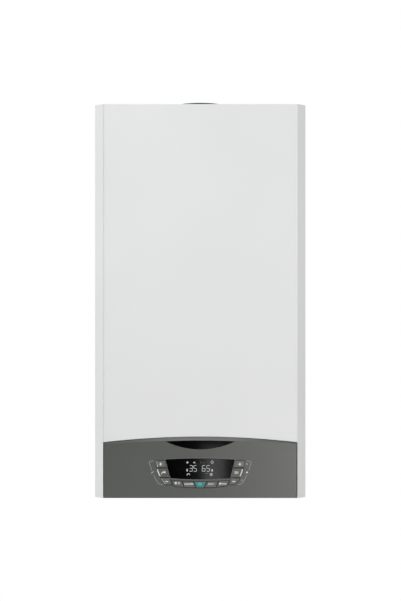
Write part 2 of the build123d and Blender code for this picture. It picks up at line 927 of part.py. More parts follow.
split_half = row_split_gap / 2
row_reach = row_half_width + row_split_gap  # past the row's ends, which its outline cuts
row_edges = (
    (-row_reach, -row_splits[1] - split_half),
    (-row_splits[1] + split_half, -row_splits[0] - split_half),
    (-row_splits[0] + split_half, row_splits[0] - split_half),
    (row_splits[0] + split_half, row_splits[1] - split_half),
    (row_splits[1] + split_half, row_reach),
)
row_names = ("mode_key", "comfort_key", "power_key", "auto_key", "reset_key")


def key_cell(name, depth, inset):
    """The outline of a key's pocket, or of the key itself when drawn inwards by the key gap."""
    if name in row_names:
        return row_cell(*row_edges[row_names.index(name)], depth, inset)
    side = -1 if name.startswith("water") else 1
    heights = (plus_key_bottom, column_top) if "plus" in name else (column_bottom, minus_key_top)
    return column_cell(side, depth, *heights, inset)


column_names = ("water_plus_key", "water_minus_key", "heating_plus_key", "heating_minus_key")
key_names = column_names + row_names

with BuildPart() as control_fascia:
    slope_back = casing_depth - band_depth
    back_outline = arched_outline(slope_back, 0, arch_top_end, arch_top_middle)
    front_outline = arched_outline(casing_depth, fascia_draft, face_top_end, face_top_middle)
    loft([back_outline, front_outline], ruled=True)
    extrude(back_outline, amount=-(slope_back - fascia_back))
    inside = arched_outline(
        fascia_back,
        fascia_wall,
        arch_top_end - fascia_wall,
        arch_top_middle - fascia_wall,
    )
    extrude(inside, amount=slope_back - fascia_back, mode=Mode.SUBTRACT)
    front_room = arched_outline(slope_back, fascia_wall + fascia_draft, face_top_end - fascia_wall,
                                face_top_middle - fascia_wall)
    extrude(front_room, amount=band_depth - fascia_front, mode=Mode.SUBTRACT)
    extrude(badge_outline(casing_depth - badge_recess, 0), amount=badge_recess, mode=Mode.SUBTRACT)
    extrude(
        display_outline(casing_depth - display_thickness, 0),
        amount=display_thickness,
        mode=Mode.SUBTRACT,
    )
    extrude(display_outline(fascia_inside, display_ledge), amount=fascia_front, mode=Mode.SUBTRACT)
    for name in key_names:
        extrude(key_cell(name, fascia_inside, 0), amount=fascia_front, mode=Mode.SUBTRACT)
    for side in (-1, 1):
        groove_depth = casing_depth - label_groove
        ring = column_cell(side, groove_depth, label_cell_bottom, label_cell_top, 0)
        island = column_cell(side, groove_depth, label_cell_bottom, label_cell_top, label_groove)
        extrude(ring, amount=label_groove, mode=Mode.SUBTRACT)
        extrude(island, amount=label_groove)
finish(control_fascia, "control_fascia")

with BuildPart() as badge_plate:
    extrude(badge_outline(casing_depth - badge_recess, inset_gap), amount=badge_thickness)
finish(badge_plate, "badge_plate")

with BuildPart() as display_window:
    extrude(display_outline(casing_depth - display_thickness, inset_gap), amount=display_thickness)
finish(display_window, "display_window")

key_middles = []
for name in key_names:
    rim_front = fascia_inside - seat_gap
    cap = key_cell(name, key_front - key_depth, key_gap)
    key_middles.append(cap.bounding_box().center())
    with BuildPart() as key:
        extrude(cap, amount=key_depth)
        chamfer(key.faces().sort_by(Axis.Y)[0].edges(), length=key_gap)
        extrude(
            key_cell(name, rim_front - key_rim_thickness, key_gap - key_rim),
            amount=key_rim_thickness,
        )
    finish(key, name)

tray_front = fascia_inside
board_low = tray_bottom + board_margin
board_high = tray_top - board_margin
board_half = tray_half_width - 2 * board_margin
post_places = [
    (side * (board_half - board_post_inset), height)
    for side in (-1, 1)
    for height in (board_low + board_post_inset, board_high - board_post_inset)
]

with BuildPart() as electrics_tray:
    block((-tray_half_width, tray_half_width), (tray_back, tray_front), (tray_bottom, tray_top))
    block(
        (-tray_half_width + tray_wall, tray_half_width - tray_wall),
        (tray_back + tray_wall, tray_front),
        (tray_bottom + tray_wall, tray_top - tray_wall),
        Mode.SUBTRACT,
    )
    for x, height in post_places:
        bar_forward(x, height, (tray_back + tray_wall, board_depth), tray_post_radius)
    for side in (-1, 1):
        boss = sorted((side * (tray_half_width - hinge_boss_length), side * tray_half_width))
        bar_across(hinge_depth, hinge_height, boss, hinge_boss_radius)
        bar_across(hinge_depth, hinge_height, boss, hinge_pin_radius + hinge_running_gap, Mode.SUBTRACT)
    middle_height = (tray_bottom + tray_top) / 2
    block(
        (-lid_width / 2 + lid_lap, lid_width / 2 - lid_lap),
        (tray_back, tray_back + tray_wall),
        (middle_height - lid_height / 2 + lid_lap, middle_height + lid_height / 2 - lid_lap),
        Mode.SUBTRACT,
    )
    bar_forward(
        gland_x,
        gland_height,
        (tray_back, tray_back + tray_wall),
        gland_bore + tray_wall,
        Mode.SUBTRACT,
    )
finish(electrics_tray, "electrics_tray")

with BuildPart() as electrics_lid:
    block((-lid_width / 2, lid_width / 2), (tray_back - lid_sheet, tray_back),
          (middle_height - lid_height / 2, middle_height + lid_height / 2))
    fillet(electrics_lid.edges().filter_by(Axis.Y), radius=bend_radius)
    for side in (-1, 1):
        bar_forward(side * (lid_width - lid_lap) / 2, middle_height,
                    (tray_back - lid_sheet - screw_radius / 2, tray_back - lid_sheet), screw_radius)
finish(electrics_lid, "electrics_lid")

with BuildPart() as mains_gland:
    bar_forward(gland_x, gland_height, (tray_back - gland_length, tray_back), gland_radius)
    bar_forward(
        gland_x,
        gland_height,
        (tray_back, tray_back + 2 * tray_wall),
        gland_bore + tray_wall - seat_gap,
    )
    chamfer(mains_gland.edges().sort_by(Axis.Y)[-1], length=tray_wall)
    bar_forward(gland_x, gland_height, (tray_back - gland_length, tray_back + 2 * tray_wall), gland_bore,
                Mode.SUBTRACT)
finish(mains_gland, "mains_gland")

board_front = board_depth + board_thickness
component_places = (
    (-110.0, 34.0, 26.0, 18.0),
    (-64.0, 22.0, 14.0, 14.0),
    (-36.0, 16.0, 14.0, 12.0),
    (44.0, 40.0, 34.0, 30.0),
    (104.0, 30.0, 22.0, 16.0),
)

with BuildPart() as control_board:
    block((-board_half, board_half), (board_depth, board_front), (board_low, board_high))
    for x, width, tall, thick in component_places:
        block((x - width / 2, x + width / 2), (board_depth - thick, board_front),
              (middle_height - tall / 2, middle_height + tall / 2))
    display_middle = (display_top + display_bottom) / 2
    block(
        (-module_width / 2, module_width / 2),
        (board_depth, casing_depth - display_thickness - module_gap),
        (display_middle - module_height / 2, display_middle + module_height / 2),
    )
    for spot in key_middles:
        with Locations((spot.X, -(board_depth + switch_top) / 2, spot.Z)):
            Box(switch_size, switch_top - board_depth, switch_size)
finish(control_board, "control_board")

pin_tip = tray_half_width - hinge_boss_length + seat_gap
bracket_inner = tray_half_width + hinge_side_gap

with BuildPart() as hinge_brackets:
    for side in (-1, 1):
        plate = sorted((side * bracket_inner, side * (bracket_inner + hinge_plate)))
        foot = sorted((side * bracket_inner, side * (lap_half - sheet - seat_gap)))
        lengths = (hinge_depth - hinge_plate_length / 2, hinge_depth + hinge_plate_length / 2)
        block(plate, lengths, (sheet, hinge_height + hinge_boss_radius))
        block(foot, lengths, (sheet, sheet + hinge_plate))
        pin = sorted((side * pin_tip, side * bracket_inner))
        bar_across(hinge_depth, hinge_height, pin, hinge_pin_radius)
finish(hinge_brackets, "hinge_brackets")


# ---------------------------------------------------------------- sealed chamber

def forward_axis(x, height):
    """The axis through a place, running from back to front."""
    return Axis((x, 0, up(height)), (0, -1, 0))


def section_plane(x, height):
    """A plane through a forward axis: its X is the depth and its Y the distance from the axis."""
    return Plane(origin=(x, 0, up(height)), x_dir=(0, -1, 0), z_dir=(-1, 0, 0))


def dish_section(inset):
    """Half of the expansion vessel's section, drawn inwards by inset."""
    back = vessel_back + inset
    front = vessel_front - inset
    middle = (vessel_back + vessel_front) / 2
    rim = vessel_radius - inset
    shoulder = vessel_seam
    with BuildSketch(section_plane(0, vessel_height)) as dish:
        with BuildLine():
            Line((back, 0), (back, vessel_flat))
            TangentArc((back, vessel_flat), (middle - shoulder, rim), tangent=(0, 1))
            Line((middle - shoulder, rim), (middle + shoulder, rim))
            TangentArc((front, vessel_flat), (middle + shoulder, rim), tangent=(0, 1))
            Line((front, vessel_flat), (front, 0))
            Line((front, 0), (back, 0))
        make_face()
    return dish.sketch


vessel_rim_low = vessel_height - math.sqrt(vessel_radius**2 - vessel_port_x**2)
vessel_port_bottom = vessel_rim_low - vessel_port_length

with BuildPart() as expansion_vessel:
    revolve(dish_section(0), axis=forward_axis(0, vessel_height))
    seam = (vessel_pipe_depth - vessel_seam / 2, vessel_pipe_depth + vessel_seam / 2)
    bar_forward(0, vessel_height, seam, vessel_radius + vessel_seam_proud)
    bar_up(vessel_port_x, vessel_pipe_depth, (vessel_port_bottom, vessel_height), vessel_port_radius)
    revolve(dish_section(vessel_wall), axis=forward_axis(0, vessel_height), mode=Mode.SUBTRACT)
    bar_up(vessel_port_x, vessel_pipe_depth, (vessel_port_bottom, vessel_height),
           vessel_pipe_radius + pipe_gap, Mode.SUBTRACT)
finish(expansion_vessel, "expansion_vessel")

with BuildPart() as exchanger_straps:
    for side in (-1, 1):
        strap_middle = drum_height + side * strap_offset
        heights = (strap_middle - strap_width / 2, strap_middle + strap_width / 2)
        block((-frame_half, frame_half), (strap_depth, drum_back), heights)
        for end in (-1, 1):
            tab = sorted((end * (frame_half - strap_sheet), end * frame_half))
            block(tab, (strap_depth, drum_back + strap_tab), heights)
finish(exchanger_straps, "exchanger_straps")

socket_bore = flue_pipe_radius + seat_gap
drum_bore = drum_radius - drum_wall
drum_bottom = drum_height - drum_radius
spigot_bottom = drum_bottom - condensate_spigot_length

with BuildPart() as heat_exchanger:
    bar_forward(0, drum_height, (drum_back, drum_front), drum_radius)
    bar_forward(0, drum_height, (drum_front - drum_flange, drum_front), drum_flange_radius)
    ring_step = (drum_length - drum_flange) / (drum_rings + 1)
    for index in range(drum_rings):
        ring_depth = drum_back + ring_step * (index + 1)
        bar_forward(0, drum_height, (ring_depth - drum_ring_width / 2, ring_depth + drum_ring_width / 2),
                    drum_radius + drum_ring_proud)
    bar_up(0, flue_depth, (drum_height, flue_socket_top), socket_bore + flue_socket_wall)
    bar_up(0, condensate_depth, (spigot_bottom, drum_height), condensate_spigot_radius)
    for side in (-1, 1):
        port = sorted((0.0, side * water_port_reach))
        bar_across(water_port_depth, drum_height - side * water_port_offset, port, water_port_radius)
    bar_forward(0, drum_height, (drum_back, drum_front), drum_bore, Mode.SUBTRACT)
    bar_up(0, flue_depth, (flue_pipe_bottom, flue_socket_top), socket_bore, Mode.SUBTRACT)
    bar_up(0, flue_depth, (drum_height, flue_socket_top), flue_bore - flue_stop, Mode.SUBTRACT)
    bar_up(0, condensate_depth, (spigot_bottom, drum_height), hose_radius + pipe_gap, Mode.SUBTRACT)
    for side in (-1, 1):
        port = sorted((0.0, side * water_port_reach))
        bar_across(water_port_depth, drum_height - side * water_port_offset, port, pipe_radius + pipe_gap,
                   Mode.SUBTRACT)
    # the back plate is dropped into the drum from the front
    bar_forward(0, drum_height, (drum_back, drum_back + drum_wall), drum_bore - seat_gap)
finish(heat_exchanger, "heat_exchanger")

coil_radius = drum_bore - coil_tube_radius - seat_gap
coil_start = drum_back + drum_wall + coil_tube_radius + coil_back_gap
coil_room = drum_front - coil_front_gap - coil_tube_radius - coil_start
coil_turns = math.floor(coil_room / coil_pitch)

with BuildPart() as heating_coil:
    with BuildLine() as winding:
        Helix(
            coil_pitch,
            coil_pitch * coil_turns,
            coil_radius,
            at(0, coil_start, drum_height),
            (0, -1, 0),
        )
    with BuildSketch(Plane(winding.line @ 0, z_dir=winding.line % 0)):
        Circle(coil_tube_radius)
        Circle(coil_tube_radius - coil_tube_wall, mode=Mode.SUBTRACT)
    sweep(is_frenet=True)
finish(heating_coil, "heating_coil")

electrode_reach = electrode_circle * math.cos(math.radians(45))
electrode_spots = [(side * electrode_reach, drum_height + electrode_reach) for side in (-1, 1)]
lining_radius = coil_radius - coil_tube_radius - wheel_gap

with BuildPart() as burner_door:
    bar_forward(0, drum_height, (drum_front, door_front), drum_flange_radius)
    fillet(burner_door.edges().group_by(Axis.Y)[0], radius=bend_radius)
    bar_forward(0, drum_height, (drum_front - door_lining, drum_front), lining_radius)
    with BuildSketch(face_at(door_front)):
        with Locations((0, up(drum_height))):
            with PolarLocations(drum_flange_radius - 2 * door_stud_radius, door_studs, start_angle=0):
                RegularPolygon(door_stud_radius, 6)
    extrude(amount=door_stud_height)
    bar_forward(electrode_spots[1][0], 2 * drum_height - electrode_spots[1][1],
                (door_front, door_front + door_stud_height), sight_glass_radius)
    bar_forward(
        0,
        drum_height,
        (drum_front - door_lining, door_front),
        burner_radius + seat_gap,
        Mode.SUBTRACT,
    )
    for x, height in electrode_spots:
        bar_forward(
            x,
            height,
            (drum_front - door_lining, door_front),
            electrode_radius + electrode_gap,
            Mode.SUBTRACT,
        )
finish(burner_door, "burner_door")

burner_back = door_front - burner_length

with BuildPart() as burner:
    bar_forward(0, drum_height, (burner_back, door_front), burner_radius)
    bar_forward(
        0,
        drum_height,
        (burner_back + burner_wall, door_front),
        burner_radius - burner_wall,
        Mode.SUBTRACT,
    )
    slot_back = burner_back + 4 * burner_slot_width
    slot_front = drum_front - door_lining - 4 * burner_slot_width
    for index in range(burner_slots // 2):
        with Locations(
            Location(at(0, (slot_back + slot_front) / 2, drum_height), (0, 360 / burner_slots * index, 0))
        ):
            Box(burner_slot_width, slot_front - slot_back, 3 * burner_radius, mode=Mode.SUBTRACT)
finish(burner, "burner")

electrode_back = drum_front - door_lining

with BuildPart() as electrodes:
    for x, height in electrode_spots:
        bar_forward(x, height, (electrode_back, door_front + electrode_length), electrode_radius)
        bar_forward(x, height, (door_front, door_front + 2 * electrode_tip_radius), electrode_radius * 2)
        bar_forward(x, height, (electrode_back - electrode_tip, electrode_back), electrode_tip_radius)
finish(electrodes, "electrodes")


# ---------------------------------------------------------------- fan, gas and air

fan_left = fan_x - fan_radius
outlet_across = (fan_left, fan_left + fan_outlet_width)
wheel_back = fan_back + fan_wall + wheel_gap
motor_front = fan_front + fan_motor_length

with BuildPart() as fan_housing:
    bar_forward(fan_x, fan_height, (fan_back, fan_front), fan_radius)
    block(outlet_across, (fan_back, fan_front), (fan_height, fan_outlet_top))
    fillet(fan_housing.edges().group_by(Axis.Y)[0], radius=bend_radius)
    room = (fan_back + fan_wall, fan_front - fan_wall)
    bar_forward(fan_x, fan_height, room, fan_radius - fan_wall, Mode.SUBTRACT)
    block(
        (outlet_across[0] + fan_wall, outlet_across[1] - fan_wall),
        room,
        (fan_height, fan_outlet_top),
        Mode.SUBTRACT,
    )
    bar_forward(fan_x, fan_height, (fan_back, fan_back + fan_wall), fan_inlet_radius, Mode.SUBTRACT)
    bar_forward(fan_x, fan_height, (fan_front - fan_wall, fan_front), 2 * shaft_radius, Mode.SUBTRACT)
finish(fan_housing, "fan_housing")

with BuildPart() as fan_impeller:
    hub_depths = (wheel_back, wheel_back + wheel_thickness)
    bar_forward(fan_x, fan_height, (hub_depths[1] - fan_wall, hub_depths[1]), wheel_radius)
    with BuildSketch(face_at(hub_depths[0])):
        with Locations((fan_x, up(fan_height))):
            with PolarLocations((wheel_radius + fan_inlet_radius) / 2, wheel_blades):
                Rectangle(wheel_radius - fan_inlet_radius, fan_wall, rotation=30)
    extrude(amount=wheel_thickness)
    bar_forward(fan_x, fan_height, (hub_depths[0], motor_front - 2 * fan_wall), shaft_radius)
    bar_forward(fan_x, fan_height, hub_depths, 2 * shaft_radius)
finish(fan_impeller, "fan_impeller")

with BuildPart() as fan_motor:
    bar_forward(fan_x, fan_height, (fan_front, motor_front), fan_motor_radius)
    fillet(fan_motor.edges().group_by(Axis.Y)[0], radius=bend_radius)
    block((fan_x, fan_x + fan_motor_radius + door_stud_height), (fan_front, motor_front - fan_wall * 2),
          (fan_height - fan_inlet_radius / 2, fan_height + fan_inlet_radius / 2))
    bar_forward(
        fan_x,
        fan_height,
        (fan_front, motor_front - fan_wall),
        shaft_radius + shaft_gap,
        Mode.SUBTRACT,
    )
finish(fan_motor, "fan_motor")

duct_front = fan_front
duct_back = door_front + duct_flange

with BuildPart() as mixture_duct:
    block(outlet_across, (duct_back, duct_front), (fan_outlet_top, duct_top))
    fillet(mixture_duct.edges().filter_by(Axis.X).group_by(Axis.Z)[-1], radius=duct_flange_radius / 4)
    bar_forward(0, drum_height, (door_front, duct_back), duct_flange_radius)
    block(
        (outlet_across[0] + duct_wall, outlet_across[1] - duct_wall),
        (duct_back + duct_wall, duct_front - duct_wall),
        (fan_outlet_top, duct_top - duct_wall),
        Mode.SUBTRACT,
    )
    mouth = (outlet_across[1] - outlet_across[0]) / 2 - duct_wall
    bar_forward(
        sum(outlet_across) / 2,
        drum_height,
        (door_front, duct_back + duct_wall),
        mouth,
        Mode.SUBTRACT,
    )
finish(mixture_duct, "mixture_duct")

mixer_back = fan_back - mixer_length
mixer_middle = (mixer_back + fan_back) / 2

with BuildPart() as gas_mixer:
    bar_forward(fan_x, fan_height, (mixer_back, fan_back), mixer_radius)
    bar_across(mixer_middle, fan_height, (gas_valve_right, fan_x), gas_spigot_radius)
    bar_across(
        mixer_middle,
        fan_height,
        (fan_x, silencer_left - silencer_mouth),
        air_pipe_radius + duct_wall,
    )
    bar_forward(fan_x, fan_height, (mixer_middle, fan_back), mixer_throat, Mode.SUBTRACT)
    bar_across(
        mixer_middle,
        fan_height,
        (fan_x, silencer_left - silencer_mouth),
        air_pipe_radius - duct_wall,
        Mode.SUBTRACT,
    )
    bar_across(
        mixer_middle,
        fan_height,
        (gas_valve_right, fan_x),
        gas_spigot_radius - duct_wall,
        Mode.SUBTRACT,
    )
finish(gas_mixer, "gas_mixer")

gas_valve_left = gas_valve_right - gas_valve_width
gas_valve_front = gas_valve_back + gas_valve_depth
gas_valve_top = gas_valve_bottom + gas_valve_tall

with BuildPart() as gas_valve:
    block(
        (gas_valve_left, gas_valve_right),
        (gas_valve_back, gas_valve_front),
        (gas_valve_bottom, gas_valve_top),
    )
    fillet(gas_valve.edges().filter_by(Axis.Z), radius=coil_can_radius / 3)
    can_depth = gas_valve_back + gas_valve_depth / 2
    for side in (-1, 1):
        can_x = gas_inlet_x + side * (coil_can_radius + seat_gap)
        bar_up(can_x, can_depth, (gas_valve_top, gas_valve_top + coil_can_height), coil_can_radius)
    bar_forward(
        gas_inlet_x,
        gas_valve_bottom + gas_valve_tall / 3,
        (gas_valve_front, gas_valve_front + door_stud_height),
        coil_can_radius,
    )
    bar_up(gas_inlet_x, gas_inlet_depth, (gas_valve_bottom, gas_valve_bottom + 2 * pipe_insert),
           gas_pipe_radius + pipe_gap, Mode.SUBTRACT)
finish(gas_valve, "gas_valve")

silencer_top = silencer_bottom + silencer_tall
silencer_right = silencer_left + silencer_width

with BuildPart() as air_silencer:
    block(
        (silencer_left, silencer_right),
        (silencer_back, silencer_front),
        (silencer_bottom, silencer_top),
    )
    fillet(air_silencer.edges().filter_by(Axis.Z), radius=silencer_width / 8)
    block((silencer_left + silencer_wall, silencer_right - silencer_wall),
          (silencer_back + silencer_wall, silencer_front - silencer_wall),
          (silencer_bottom + silencer_wall, silencer_top - silencer_wall), Mode.SUBTRACT)
    mouth_x = (silencer_left + silencer_right) / 2
    mouth_depth = (silencer_back + silencer_front) / 2
    block((mouth_x - silencer_mouth / 2, mouth_x + silencer_mouth / 2),
          (mouth_depth - silencer_mouth / 2, mouth_depth + silencer_mouth / 2),
          (silencer_top - 2 * silencer_wall, silencer_top), Mode.SUBTRACT)
    bar_across(mixer_middle, fan_height, (silencer_left - silencer_mouth, silencer_left + silencer_wall),
               air_pipe_radius)
    bar_across(mixer_middle, fan_height, (silencer_left - silencer_mouth, silencer_left + silencer_wall),
               air_pipe_radius - duct_wall, Mode.SUBTRACT)
finish(air_silencer, "air_silencer")


# ---------------------------------------------------------------- hydraulics

with BuildPart() as connection_tails:
    for x, radius in zip(tail_places, tail_radii):
        bar_up(x, connection_depth, (tail_bottom, tail_bottom + tail_thread_length), radius)
        with BuildSketch(level(tail_bottom + tail_thread_length)):
            with Locations((x, -connection_depth)):
                RegularPolygon(tail_nut_across / 2, 6, major_radius=False)
        extrude(amount=connection_plate_height - tail_bottom - tail_thread_length)
        bar_up(x, connection_depth, (connection_plate_height, manifold_bottom), tail_neck_radius)
        bar_up(x, connection_depth, (tail_bottom, manifold_bottom), tail_bore, Mode.SUBTRACT)
finish(connection_tails, "connection_tails")

port_low = exchanger_bottom + exchanger_port_rise
port_high = exchanger_top - exchanger_port_rise


def manifold_core(side):
    """The barrel of the left (-1) or right (1) water block, with its sockets."""
    barrel = sorted((side * barrel_inner, side * barrel_outer))
    bar_across(connection_depth, barrel_height, barrel, barrel_radius)
    for step in (1, 2):
        bar_up(
            side * step * connection_pitch,
            connection_depth,
            (manifold_bottom, barrel_height),
            socket_radius,
        )
    bar_up(
        side * exchanger_port_x,
        connection_depth,
        (barrel_height, port_high + exchanger_port_radius / 2),
        socket_radius,
    )
    for height in (port_low, port_high):
        bar_forward(
            side * exchanger_port_x,
            height,
            (exchanger_front, connection_depth),
            exchanger_port_radius,
        )


diverter_floor = barrel_height - diverter_disc

with BuildPart() as flow_manifold:
    manifold_core(-1)
    bar_up(
        diverter_x,
        connection_depth,
        (manifold_bottom + diverter_bore, diverter_top),
        diverter_body_radius,
    )
    bar_up(
        -pipe_side + pipe_radius,
        connection_depth,
        (barrel_height, flow_socket_top),
        pipe_radius + 2 * pipe_wall,
    )
    bar_up(diverter_x, connection_depth, (diverter_floor, diverter_top), diverter_bore, Mode.SUBTRACT)
    bar_up(
        -pipe_side + pipe_radius,
        connection_depth,
        (flow_socket_top - 2 * pipe_insert, flow_socket_top),
        pipe_radius + pipe_gap,
        Mode.SUBTRACT,
    )
finish(flow_manifold, "flow_manifold")

vessel_socket_depth = connection_depth - barrel_radius + vessel_port_radius / 2

with BuildPart() as return_manifold:
    manifold_core(1)
    bar_forward(relief_x, barrel_height, (connection_depth, relief_back), relief_radius)
    bar_up(pump_x, pump_depth, (barrel_height, pump_height - pump_radius - pump_port_rise), socket_radius)
    bar_up(vessel_port_x, vessel_socket_depth, (barrel_height, vessel_socket_top), vessel_port_radius)
    bar_up(filling_x, filling_depth, (filling_bottom, barrel_height), filling_radius)
    bar_up(vessel_port_x, vessel_socket_depth, (vessel_socket_top - pipe_insert, vessel_socket_top),
           vessel_pipe_radius + pipe_gap, Mode.SUBTRACT)
    bar_up(filling_x, filling_depth, (filling_bottom, filling_bottom + 2 * pipe_insert),
           filling_stem_radius + shaft_gap, Mode.SUBTRACT)
finish(return_manifold, "return_manifold")

with BuildPart() as plate_exchanger:
    stack = exchanger_front - exchanger_back
    pitch = stack / exchanger_plates
    with BuildSketch(face_at(exchanger_back)):
        with Locations((0, up((exchanger_bottom + exchanger_top) / 2))):
            RectangleRounded(
                2 * exchanger_half_width,
                exchanger_top - exchanger_bottom,
                3 * exchanger_port_radius,
            )
    extrude(amount=stack)
    for index in range(1, exchanger_plates):
        depth = exchanger_back + pitch * index
        with BuildSketch(face_at(depth)):
            with Locations((0, up((exchanger_bottom + exchanger_top) / 2))):
                RectangleRounded(3 * exchanger_half_width, 2 * exchanger_top, exchanger_port_radius)
                RectangleRounded(
                    2 * exchanger_half_width - 2 * pitch,
                    exchanger_top - exchanger_bottom - 2 * pitch,
                    3 * exchanger_port_radius - pitch,
                    mode=Mode.SUBTRACT,
                )
        extrude(amount=pitch / 3, mode=Mode.SUBTRACT)
finish(plate_exchanger, "plate_exchanger")

motor_half = diverter_motor_width / 2

with BuildPart() as diverter_motor:
    block(
        (diverter_x - motor_half, diverter_x + motor_half),
        (connection_depth - motor_half, connection_depth + motor_half),
        (diverter_top, diverter_top + diverter_motor_tall),
    )
    fillet(diverter_motor.edges().filter_by(Axis.Z), radius=motor_half / 3)
    fillet(diverter_motor.faces().sort_by(Axis.Z)[-1].edges(), radius=motor_half / 6)
    bar_up(diverter_x, connection_depth, (diverter_top, diverter_top + diverter_motor_tall / 2),
           diverter_rod_radius + diverter_rod_gap, Mode.SUBTRACT)
finish(diverter_motor, "diverter_motor")

disc_low = diverter_floor + diverter_travel + diverter_rod_gap

with BuildPart() as diverter_spindle:
    bar_up(
        diverter_x,
        connection_depth,
        (disc_low, disc_low + diverter_disc),
        diverter_bore - diverter_rod_gap,
    )
    bar_up(
        diverter_x,
        connection_depth,
        (disc_low, diverter_top + diverter_motor_tall / 3),
        diverter_rod_radius,
    )
finish(diverter_spindle, "diverter_spindle")

pump_low_port = pump_height - pump_radius - pump_port_rise
pump_high_port = pump_height + pump_radius + pump_port_rise
vent_low = pump_height + pump_radius - vent_radius / 3

with BuildPart() as pump_body:
    bar_forward(pump_x, pump_height, (pump_back, pump_front), pump_radius)
    fillet(pump_body.edges().group_by(Axis.Y)[-1], radius=4 * bend_radius)
    bar_up(pump_x, pump_depth, (pump_low_port, pump_high_port), pump_port_radius)
    bar_up(vent_x, pump_depth, (pump_height, vent_low), vent_radius)
    bar_forward(pump_x, pump_height, (pump_front - pump_bore_depth, pump_front), pump_bore, Mode.SUBTRACT)
    bar_up(
        pump_x,
        pump_depth,
        (pump_high_port - 2 * pipe_insert, pump_high_port),
        pipe_radius + pipe_gap,
        Mode.SUBTRACT,
    )
    bar_up(pump_x, pump_depth, (pump_low_port, pump_height), tail_bore, Mode.SUBTRACT)
finish(pump_body, "pump_body")

pump_wheel_back = pump_front - pump_bore_depth + wheel_gap
pump_motor_front = pump_front + pump_motor_length

with BuildPart() as pump_impeller:
    wheel = (pump_wheel_back, pump_wheel_back + pump_wheel_thickness)
    bar_forward(pump_x, pump_height, (wheel[0], wheel[0] + fan_wall), pump_wheel_radius)
    bar_forward(pump_x, pump_height, (wheel[1] - fan_wall, wheel[1]), pump_wheel_radius)
    with BuildSketch(face_at(wheel[0])):
        with Locations((pump_x, up(pump_height))):
            with PolarLocations(pump_wheel_radius * 0.6, 6):
                Rectangle(pump_wheel_radius * 0.7, fan_wall, rotation=35)
    extrude(amount=pump_wheel_thickness)
    bar_forward(pump_x, pump_height, (wheel[0], pump_motor_front - 2 * pump_port_rise), shaft_radius)
finish(pump_impeller, "pump_impeller")

with BuildPart() as pump_motor:
    bar_forward(pump_x, pump_height, (pump_front, pump_motor_front), pump_motor_radius)
    fillet(pump_motor.edges().group_by(Axis.Y)[0], radius=3 * bend_radius)
    with BuildSketch(face_at(pump_front + fan_wall * 2)):
        with Locations((pump_x, up(pump_height))):
            with PolarLocations(pump_motor_radius, pump_fins):
                Rectangle(2 * fan_wall, fan_wall)
    extrude(amount=pump_motor_length / 2)
    bar_forward(
        pump_x,
        pump_height,
        (pump_front, pump_motor_front - pump_port_rise),
        shaft_radius + shaft_gap,
        Mode.SUBTRACT,
    )
finish(pump_motor, "pump_motor")

with BuildPart() as air_vent:
    bar_up(vent_x, pump_depth, (vent_low, vent_low + vent_height), vent_radius)
    chamfer(air_vent.edges().group_by(Axis.Z)[-1], length=vent_radius / 3)
    bar_up(
        vent_x,
        pump_depth,
        (vent_low + vent_height, vent_low + vent_height + vent_radius / 2),
        vent_radius / 3,
    )
finish(air_vent, "air_vent")

relief_front = relief_back + relief_length

with BuildPart() as relief_valve:
    bar_forward(relief_x, barrel_height, (relief_back, relief_front), relief_radius)
    bar_up(relief_x, outlet_depth, (relief_outlet_bottom, barrel_height), relief_outlet_radius)
    bar_up(
        relief_x,
        outlet_depth,
        (relief_outlet_bottom, barrel_height),
        relief_outlet_radius - duct_wall,
        Mode.SUBTRACT,
    )
    bar_forward(
        relief_x,
        barrel_height,
        (relief_stem_back, relief_front),
        relief_stem_radius + shaft_gap,
        Mode.SUBTRACT,
    )
finish(relief_valve, "relief_valve")


def fluted_knob(plane, x, y, radius, length):
    """A knob with finger flutes round it, standing on a plane."""
    with BuildSketch(plane) as section:
        with Locations((x, y)):
            Circle(radius)
            with PolarLocations(radius + knob_flute_radius / 2, knob_flutes):
                Circle(knob_flute_radius, mode=Mode.SUBTRACT)
    extrude(section.sketch, amount=length)


with BuildPart() as relief_knob:
    fluted_knob(
        face_at(relief_front + seat_gap),
        relief_x,
        up(barrel_height),
        relief_knob_radius,
        relief_knob_length,
    )
    bar_forward(
        relief_x,
        barrel_height,
        (relief_stem_back + seat_gap, relief_front + relief_knob_length),
        relief_stem_radius,
    )
finish(relief_knob, "relief_knob")

with BuildPart() as filling_knob:
    knob_bottom = filling_bottom - seat_gap - filling_knob_height
    fluted_knob(level(knob_bottom), filling_x, -filling_depth, filling_knob_radius, filling_knob_height)
    bar_up(
        filling_x,
        filling_depth,
        (knob_bottom, filling_bottom + 2 * pipe_insert - seat_gap),
        filling_stem_radius,
    )
finish(filling_knob, "filling_knob")

flow_port_height = drum_height + water_port_offset
return_port_height = drum_height - water_port_offset
port_end = water_port_reach - pipe_insert
flow_foot_x = -pipe_side + pipe_radius
shoulder_height = (pump_high_port + chamber_floor_height) / 2 + pipe_radius / 2

flow_route = (
    at(-port_end, water_port_depth, flow_port_height),
    at(-pipe_side, water_port_depth, flow_port_height),
    at(-pipe_side, water_port_depth, chamber_floor_height - pipe_side / 2),
    at(flow_foot_x, connection_depth, barrel_height + 2 * pipe_bend + barrel_radius),
    at(flow_foot_x, connection_depth, flow_socket_top - pipe_insert),
)
return_route = (
    at(pump_x, pump_depth, pump_high_port - pipe_insert),
    at(pump_x, pump_depth, shoulder_height),
    at(pipe_side, water_port_depth, shoulder_height),
    at(pipe_side, water_port_depth, return_port_height),
    at(port_end, water_port_depth, return_port_height),
)
vessel_route = (
    at(vessel_port_x, vessel_pipe_depth, vessel_port_bottom + pipe_insert),
    at(vessel_port_x, vessel_pipe_depth, exchanger_top + 4 * vessel_pipe_bend),
    at(vessel_port_x, vessel_socket_depth, exchanger_top + 2 * vessel_pipe_bend),
    at(vessel_port_x, vessel_socket_depth, vessel_socket_top - pipe_insert + seat_gap),
)

